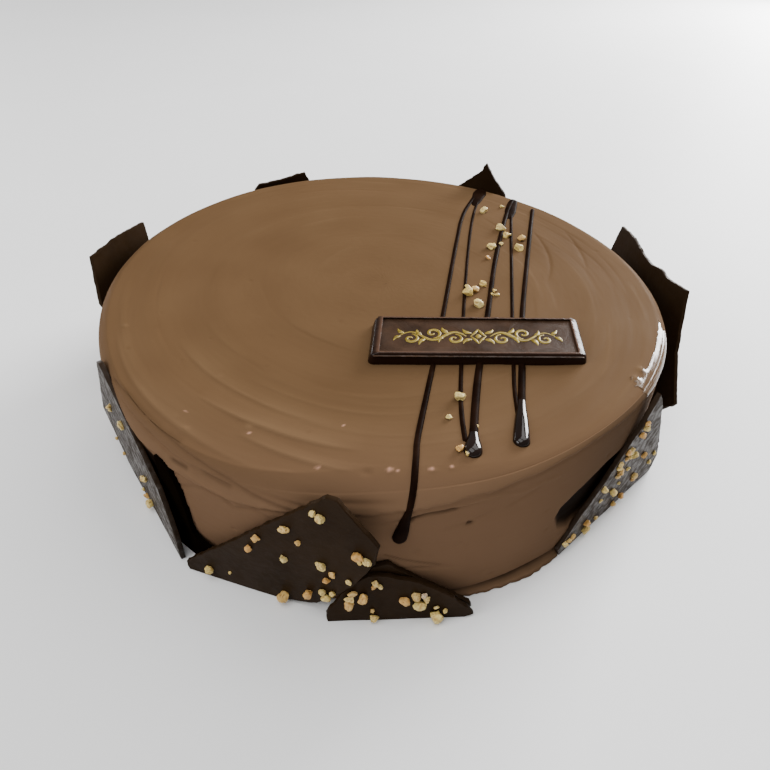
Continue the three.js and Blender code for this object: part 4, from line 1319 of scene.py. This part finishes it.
# The frame's section: how far out from the top's outline, and how high, from the foot to the field.
PLAQUE_SECTION = [
    (1.0, 0.0), (1.25, 0.12), (1.3, 0.4), (1.05, 1.4), (0.72, 2.7), (0.5, 3.6), (0.38, 4.1), (0.2, 4.5),
    (-0.05, 4.8), (-0.35, 4.97), (-0.7, 5.0), (-1.0, 4.9), (-1.3, 4.7), (-1.7, 4.42), (-2.1, 4.18),
    (-2.5, 4.02), (-2.8, 3.96), (-3.2, 3.95),
]
# The section's crest by its number, and where its slopes end: below this height, and this many
# levels before the last.
CREST_LEVEL = 10
CREST_FROM = 4.9
FIELD_LEVELS = 3
FIRST_WORN_LEVEL = 6
# The two ends slope out further, with most of that slope just under the ridge, over the last part
# of the bar's length, and they stand a little askew to the long sides.
END_FLARE = 1.8
END_CURVE = 8
END_REACH = 6.0
LONG_SIDE_STEPS = 110
END_STEPS = 34
SMALLEST_CORNER = 0.15


def plaque_ring(spread):
    """Points round the plaque's outline, moved out by spread, at even steps along each side.

    A corner is never tighter than the smallest one. Where the section runs further in than that, the
    ring steps out by as much instead, so the last levels turn back under the frame's ridge.
    """
    half_x, half_y = PLAQUE["length"] / 2 - PLAQUE_CORNER, PLAQUE["depth"] / 2 - PLAQUE_CORNER
    radius = max(PLAQUE_CORNER + spread, SMALLEST_CORNER)
    step_out = max(0.0, SMALLEST_CORNER - PLAQUE_CORNER - spread)
    arcs = []
    for quarter, (east, north) in enumerate(((1, 1), (-1, 1), (-1, -1), (1, -1))):
        x, y = east * (half_x + step_out), north * (half_y + step_out)
        turned = [in_plan(90 * quarter + turn, radius) for turn in range(0, 91, 15)]
        arcs.append([Vector((x + along, y + across)) for along, across in turned])
    ring = []
    for quarter, arc in enumerate(arcs):
        ring.extend(arc)
        ahead = arcs[(quarter + 1) % 4][0]
        steps = LONG_SIDE_STEPS if quarter % 2 == 0 else END_STEPS
        ring.extend(arc[-1].lerp(ahead, k / steps) for k in range(1, steps))
    return ring


plaque_base = CAKE_HEIGHT - PLAQUE_BED
plaque_vertices, plaque_faces, plaque_slopes, plaque_ridges = [], [], [], []
for level, (spread, height) in enumerate(PLAQUE_SECTION):
    on_slope = height < CREST_FROM and level < len(PLAQUE_SECTION) - FIELD_LEVELS
    for p in plaque_ring(spread):
        cast = Vector((p.x, p.y, height))
        wear = 0.10 * noise.noise(cast / 2.2) + 0.05 * noise.noise(cast / 0.7)
        nibble = max(0.0, noise.noise(Vector((p.x / 1.6, p.y / 1.6, 4.0))) - 0.25)
        if p.y > 0 and p.x > -4:
            wear += 0.7 * nibble
        if level >= FIRST_WORN_LEVEL:
            cast.z += wear
        cast.x += math.copysign(0.4 * wear, p.x)
        if level < CREST_LEVEL:
            near_end = min(1, max(0, (abs(p.x) - PLAQUE["length"] / 2 + END_REACH) / END_REACH))
            spread_out = END_FLARE * (1 - (height / PLAQUE["height"]) ** END_CURVE)
            cast.x += math.copysign(spread_out * near_end ** 2 * (3 - 2 * near_end), p.x)
        cast.x += PLAQUE["skew"] * cast.y
        plaque_vertices.append((cast.x + PLAQUE["x"], cast.y + PLAQUE["y"], max(cast.z, 0) + plaque_base))
        plaque_slopes.append(1.0 if on_slope else 0.0)
        plaque_ridges.append(max(0.0, 1 - abs(level - CREST_LEVEL) / 2.5))
ring_length = len(plaque_ring(0))
for level in range(len(PLAQUE_SECTION) - 1):
    for k in range(ring_length):
        n = (k + 1) % ring_length
        a, b = level * ring_length, (level + 1) * ring_length
        plaque_faces.append((a + k, a + n, b + n, b + k))
plaque_faces.append(tuple(reversed(range(ring_length))))
last_ring = (len(PLAQUE_SECTION) - 1) * ring_length
plaque_faces.append(tuple(range(last_ring, last_ring + ring_length)))

# The field's lighter brown is a painted sheen, the slopes are near-black as painted shade, and the ridge's
# crest is lighter as painted light.
FIELD_SHEEN_TONES = [(0.35, (0.024, 0.0125, 0.007)), (0.7, (0.058, 0.031, 0.018))]
SLOPE_PAINTED_SHADE = (0.012, 0.0042, 0.0018)
RIDGE_PAINTED_LIGHT = (0.082, 0.042, 0.026)
moulded = Finish("moulded_chocolate")
flow = moulded.grain(70.0, 3.0, 0.5, None, 0.8)
faults = moulded.grain(620.0, 3.0, 0.7)
field_tone = moulded.ramp(moulded.grain(90.0, 4.0), FIELD_SHEEN_TONES)
with_slopes = moulded.mix(moulded.painted("mould_slope"), field_tone, SLOPE_PAINTED_SHADE)
moulded.set(
    Base_Color=moulded.mix(moulded.painted("mould_ridge"), with_slopes, RIDGE_PAINTED_LIGHT),
    Roughness=moulded.grey(flow, 0.3, 0.7, 0.2, 0.36),
    IOR=1.5,
    Specular_IOR_Level=0.14,
)
moulded.bump((flow, 0.3, 0.0012), (faults, 0.14, 0.0003))
plaque = mesh_piece("plaque_bar", [Vector(v) * MM for v in plaque_vertices], plaque_faces, moulded.material)
plaque.data.set_sharp_from_angle(angle=PLAQUE_SHARP)
paint_points(plaque, "mould_slope", plaque_slopes)
paint_points(plaque, "mould_ridge", plaque_ridges)
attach(plaque, "root")
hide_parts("plaque")


# ---- the gilded ornament --------------------------------------------------------------------
# Edible gold, brushed on the plaque's field as a plain traditional scroll: a lozenge in the middle
# and a vine that runs out to both sides, with curls and small leaves. It stands up by a hair.

FIELD_HEIGHT = 3.95
VINE_START, VINE_END = 4.6, 30.5
VINE_SWING = 2.5
VINE_WAVE = 17.2
STROKE_FULL = 1.5
STROKE_STEP = 0.35
STROKE_HEIGHT = 0.42


def brush_stroke(points, thickest, thin_start, thin_end, fullest):
    """One stroke of the brush: thin where it is set down and lifted, full between."""
    line = smooth_line([(x, y, 0) for x, y in points], STROKE_STEP)
    widths = []
    for i in range(len(line)):
        t = i / (len(line) - 1)
        if t < fullest:
            pressed_down = thin_start + (1 - thin_start) * (t / fullest) ** 0.8
        else:
            pressed_down = thin_end + (1 - thin_end) * (1 - (t - fullest) / (1 - fullest)) ** 0.8
        widths.append(STROKE_FULL * thickest * pressed_down * (1 + 0.1 * noise.noise(line[i] / 1.3)))
    return laid_strand(line, [Vector((0, 0, 1))] * len(line), widths, STROKE_HEIGHT)


def curl(x, y, radius, start, turns, way):
    """A spiral that winds in towards its middle."""
    points = []
    for i in range(26):
        t = i / 25
        angle = math.radians(start) + way * 2 * math.pi * turns * t
        reach = radius * (1 - t) ** 0.85 + 0.38
        points.append((x + reach * math.cos(angle), y + reach * math.sin(angle)))
    return points


def leaf(x, y, length, angle, bend):
    """A short stroke that bends a little to one side."""
    turn = math.radians(angle)
    points = []
    for i in range(7):
        t = i / 6
        sideways = bend * math.sin(math.pi * t)
        points.append((x + length * t * math.cos(turn) - sideways * math.sin(turn),
                       y + length * t * math.sin(turn) + sideways * math.cos(turn)))
    return points


def vine_height(x):
    return VINE_SWING * math.sin(2 * math.pi * (x - VINE_START) / VINE_WAVE)


# One half of the scroll, mirrored for the other. A curl is given by its middle, radius, starting
# angle and way round, a leaf by its foot, length, angle, bend and thickness, and the lozenge by the
# heights of its upper and lower corner.
VINE_BRUSH = (1.15, 0.3, 0.15, 0.3)
CURL_TURNS = 1.15
CURL_BRUSH = (1.0, 0.3, 0.5, 0.3)
LEAF_BRUSH = (0.3, 0.05, 0.35)
LOZENGE_BRUSH = (0.9, 0.3, 0.3, 0.5)
HEART_BRUSH = (1.7, 0.2, 0.2, 0.5)
CURLS = [(9.2, -1.7, 2.7, 95, 1), (17.6, 1.8, 2.8, -95, -1), (26.0, -1.7, 2.6, 95, 1)]
LEAVES = [
    (11.6, 1.9, 4.6, 58, -0.7, 1.5), (13.2, -0.2, 4.4, -62, 0.7, 1.4), (20.4, -1.9, 4.4, -58, 0.7, 1.4),
    (21.8, 0.4, 4.3, 62, -0.7, 1.4), (28.6, 1.6, 4.0, 50, -0.6, 1.3), (30.0, -0.2, 3.8, -48, 0.6, 1.3),
    (2.6, 2.0, 4.4, 40, -0.9, 1.4), (2.6, -2.0, 4.4, -40, 0.9, 1.4),
]
half_strokes = [([(x, vine_height(x)) for x in np.linspace(VINE_START, VINE_END, 14)], *VINE_BRUSH)]
for x, y, radius, start, way in CURLS:
    half_strokes.append((curl(x, y, radius, start, CURL_TURNS, way), *CURL_BRUSH))
for x, y, length, angle, bend, thickness in LEAVES:
    half_strokes.append((leaf(x, y, length, angle, bend), thickness, *LEAF_BRUSH))
for up in (1, -1):
    half_strokes.append(([(0.0, 4.7 * up), (1.2, 2.3 * up), (3.0, 0.0)], *LOZENGE_BRUSH))
gilt_parts = []
for side in (1, -1):
    for points, *brush in half_strokes:
        gilt_parts.append(brush_stroke([(side * x, y) for x, y in points], *brush))
gilt_parts.append(brush_stroke([(0, 1.5), (0, 0), (0, -1.5)], *HEART_BRUSH))
gilt_vertices, gilt_faces = joined(gilt_parts)
for v in gilt_vertices:
    v.x += PLAQUE["skew"] * v.y
gilt_place = Vector((PLAQUE["x"], PLAQUE["y"], plaque_base + FIELD_HEIGHT)) * MM

GOLD_TONES = [(0.3, (0.16, 0.108, 0.005)), (0.7, (0.29, 0.2, 0.012))]
gold = Finish("brushed_gold")
brush_marks = gold.grain(1.0, 3.0, 0.6, gold.stretched(260, 900, 400))
gold.set(
    Base_Color=gold.ramp(brush_marks, GOLD_TONES),
    Metallic=0.2,
    Roughness=gold.grey(brush_marks, 0.3, 0.7, 0.34, 0.5),
)
gold.bump((brush_marks, 0.3, 0.0002))
ornament = mesh_piece("gilded_scroll", [v + gilt_place for v in gilt_vertices], gilt_faces, gold.material)
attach(ornament, "root")
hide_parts("plaque")


# ---- the stage ------------------------------------------------------------------------------
# A plain white floor under soft light: one wide window behind on the right, a pale room round it.

FLOOR_HALF = 6
FLOOR_BELOW = 0.0003
WHITE_TONES = [(0.3, (0.86, 0.86, 0.86)), (0.7, (0.88, 0.88, 0.88))]
white = Finish("white_floor")
white.set(
    Base_Color=white.ramp(white.grain(8.0, 2.0), WHITE_TONES),
    Roughness=0.6,
)
floor_mesh = bpy.data.meshes.new("floor")
floor_corners = ((-1, -1), (1, -1), (1, 1), (-1, 1))
floor_mesh.from_pydata([(x * FLOOR_HALF, y * FLOOR_HALF, -FLOOR_BELOW) for x, y in floor_corners], [],
                       [(0, 1, 2, 3)])
floor_mesh.materials.append(white.material)
floor = bpy.data.objects.new("floor", floor_mesh)
bpy.context.scene.collection.objects.link(floor)

world = bpy.data.worlds.new("pale_room")
world.use_nodes = True
room = world.node_tree.nodes["Background"]
room.inputs["Color"].default_value = (1.0, 1.0, 1.0, 1)
room.inputs["Strength"].default_value = 0.3
bpy.context.scene.world = world


LIGHTS_AIM = Vector((0.0, 0.0, 0.05))
LOW_AIM = Vector((0.0, 0.0, 0.06))
# Where each light hangs, where it points, its width and height in metres, and its power in watts.
LIGHTS = {
    "key_light": ((0.54, 0.45, 1.21), LIGHTS_AIM, 1.0, 1.0, 12.0),
    "ceiling_light": ((-0.35, -0.25, 1.7), LIGHTS_AIM, 1.3, 1.1, 18.0),
    "fill_light": ((-1.25, -0.6, 0.85), LIGHTS_AIM, 0.9, 0.7, 13.0),
    "window_light": ((1.03, 0.99, 0.463), LOW_AIM, 0.66, 0.7, 50.0),
    "wall_light": ((-1.2, 1.1, 0.14), LOW_AIM, 0.9, 0.26, 5.0),
}
for name, (place, aim, width, height, power) in LIGHTS.items():
    light = bpy.data.lights.new(name, "AREA")
    light.shape = "RECTANGLE"
    light.size = width
    light.size_y = height
    light.energy = power
    lamp = bpy.data.objects.new(name, light)
    lamp.location = place
    lamp.rotation_euler = (aim - Vector(place)).to_track_quat("-Z", "Y").to_euler()
    bpy.context.scene.collection.objects.link(lamp)

# The camera stands close, above the front, and looks down on the cake's middle.
CAMERA_PLACE = Vector((-0.01711, -0.23398, 0.2036))
CAMERA_RIGHT = Vector((0.99826, -0.04225, 0.0419))
CAMERA_UP = Vector((-0.00395, 0.65463, 0.7559))
CAMERA_AHEAD = Vector((0.0594, 0.75477, -0.6533))
lens = bpy.data.cameras.new("camera")
lens.sensor_width = 36.0
lens.lens = 28.99
lens.clip_start = 0.01
camera = bpy.data.objects.new("camera", lens)
bpy.context.scene.collection.objects.link(camera)
stand = Matrix.Identity(4)
for column, axis in enumerate((CAMERA_RIGHT, CAMERA_UP, -CAMERA_AHEAD, CAMERA_PLACE)):
    for row in range(3):
        stand[row][column] = axis[row]
camera.matrix_world = stand
bpy.context.scene.camera = camera
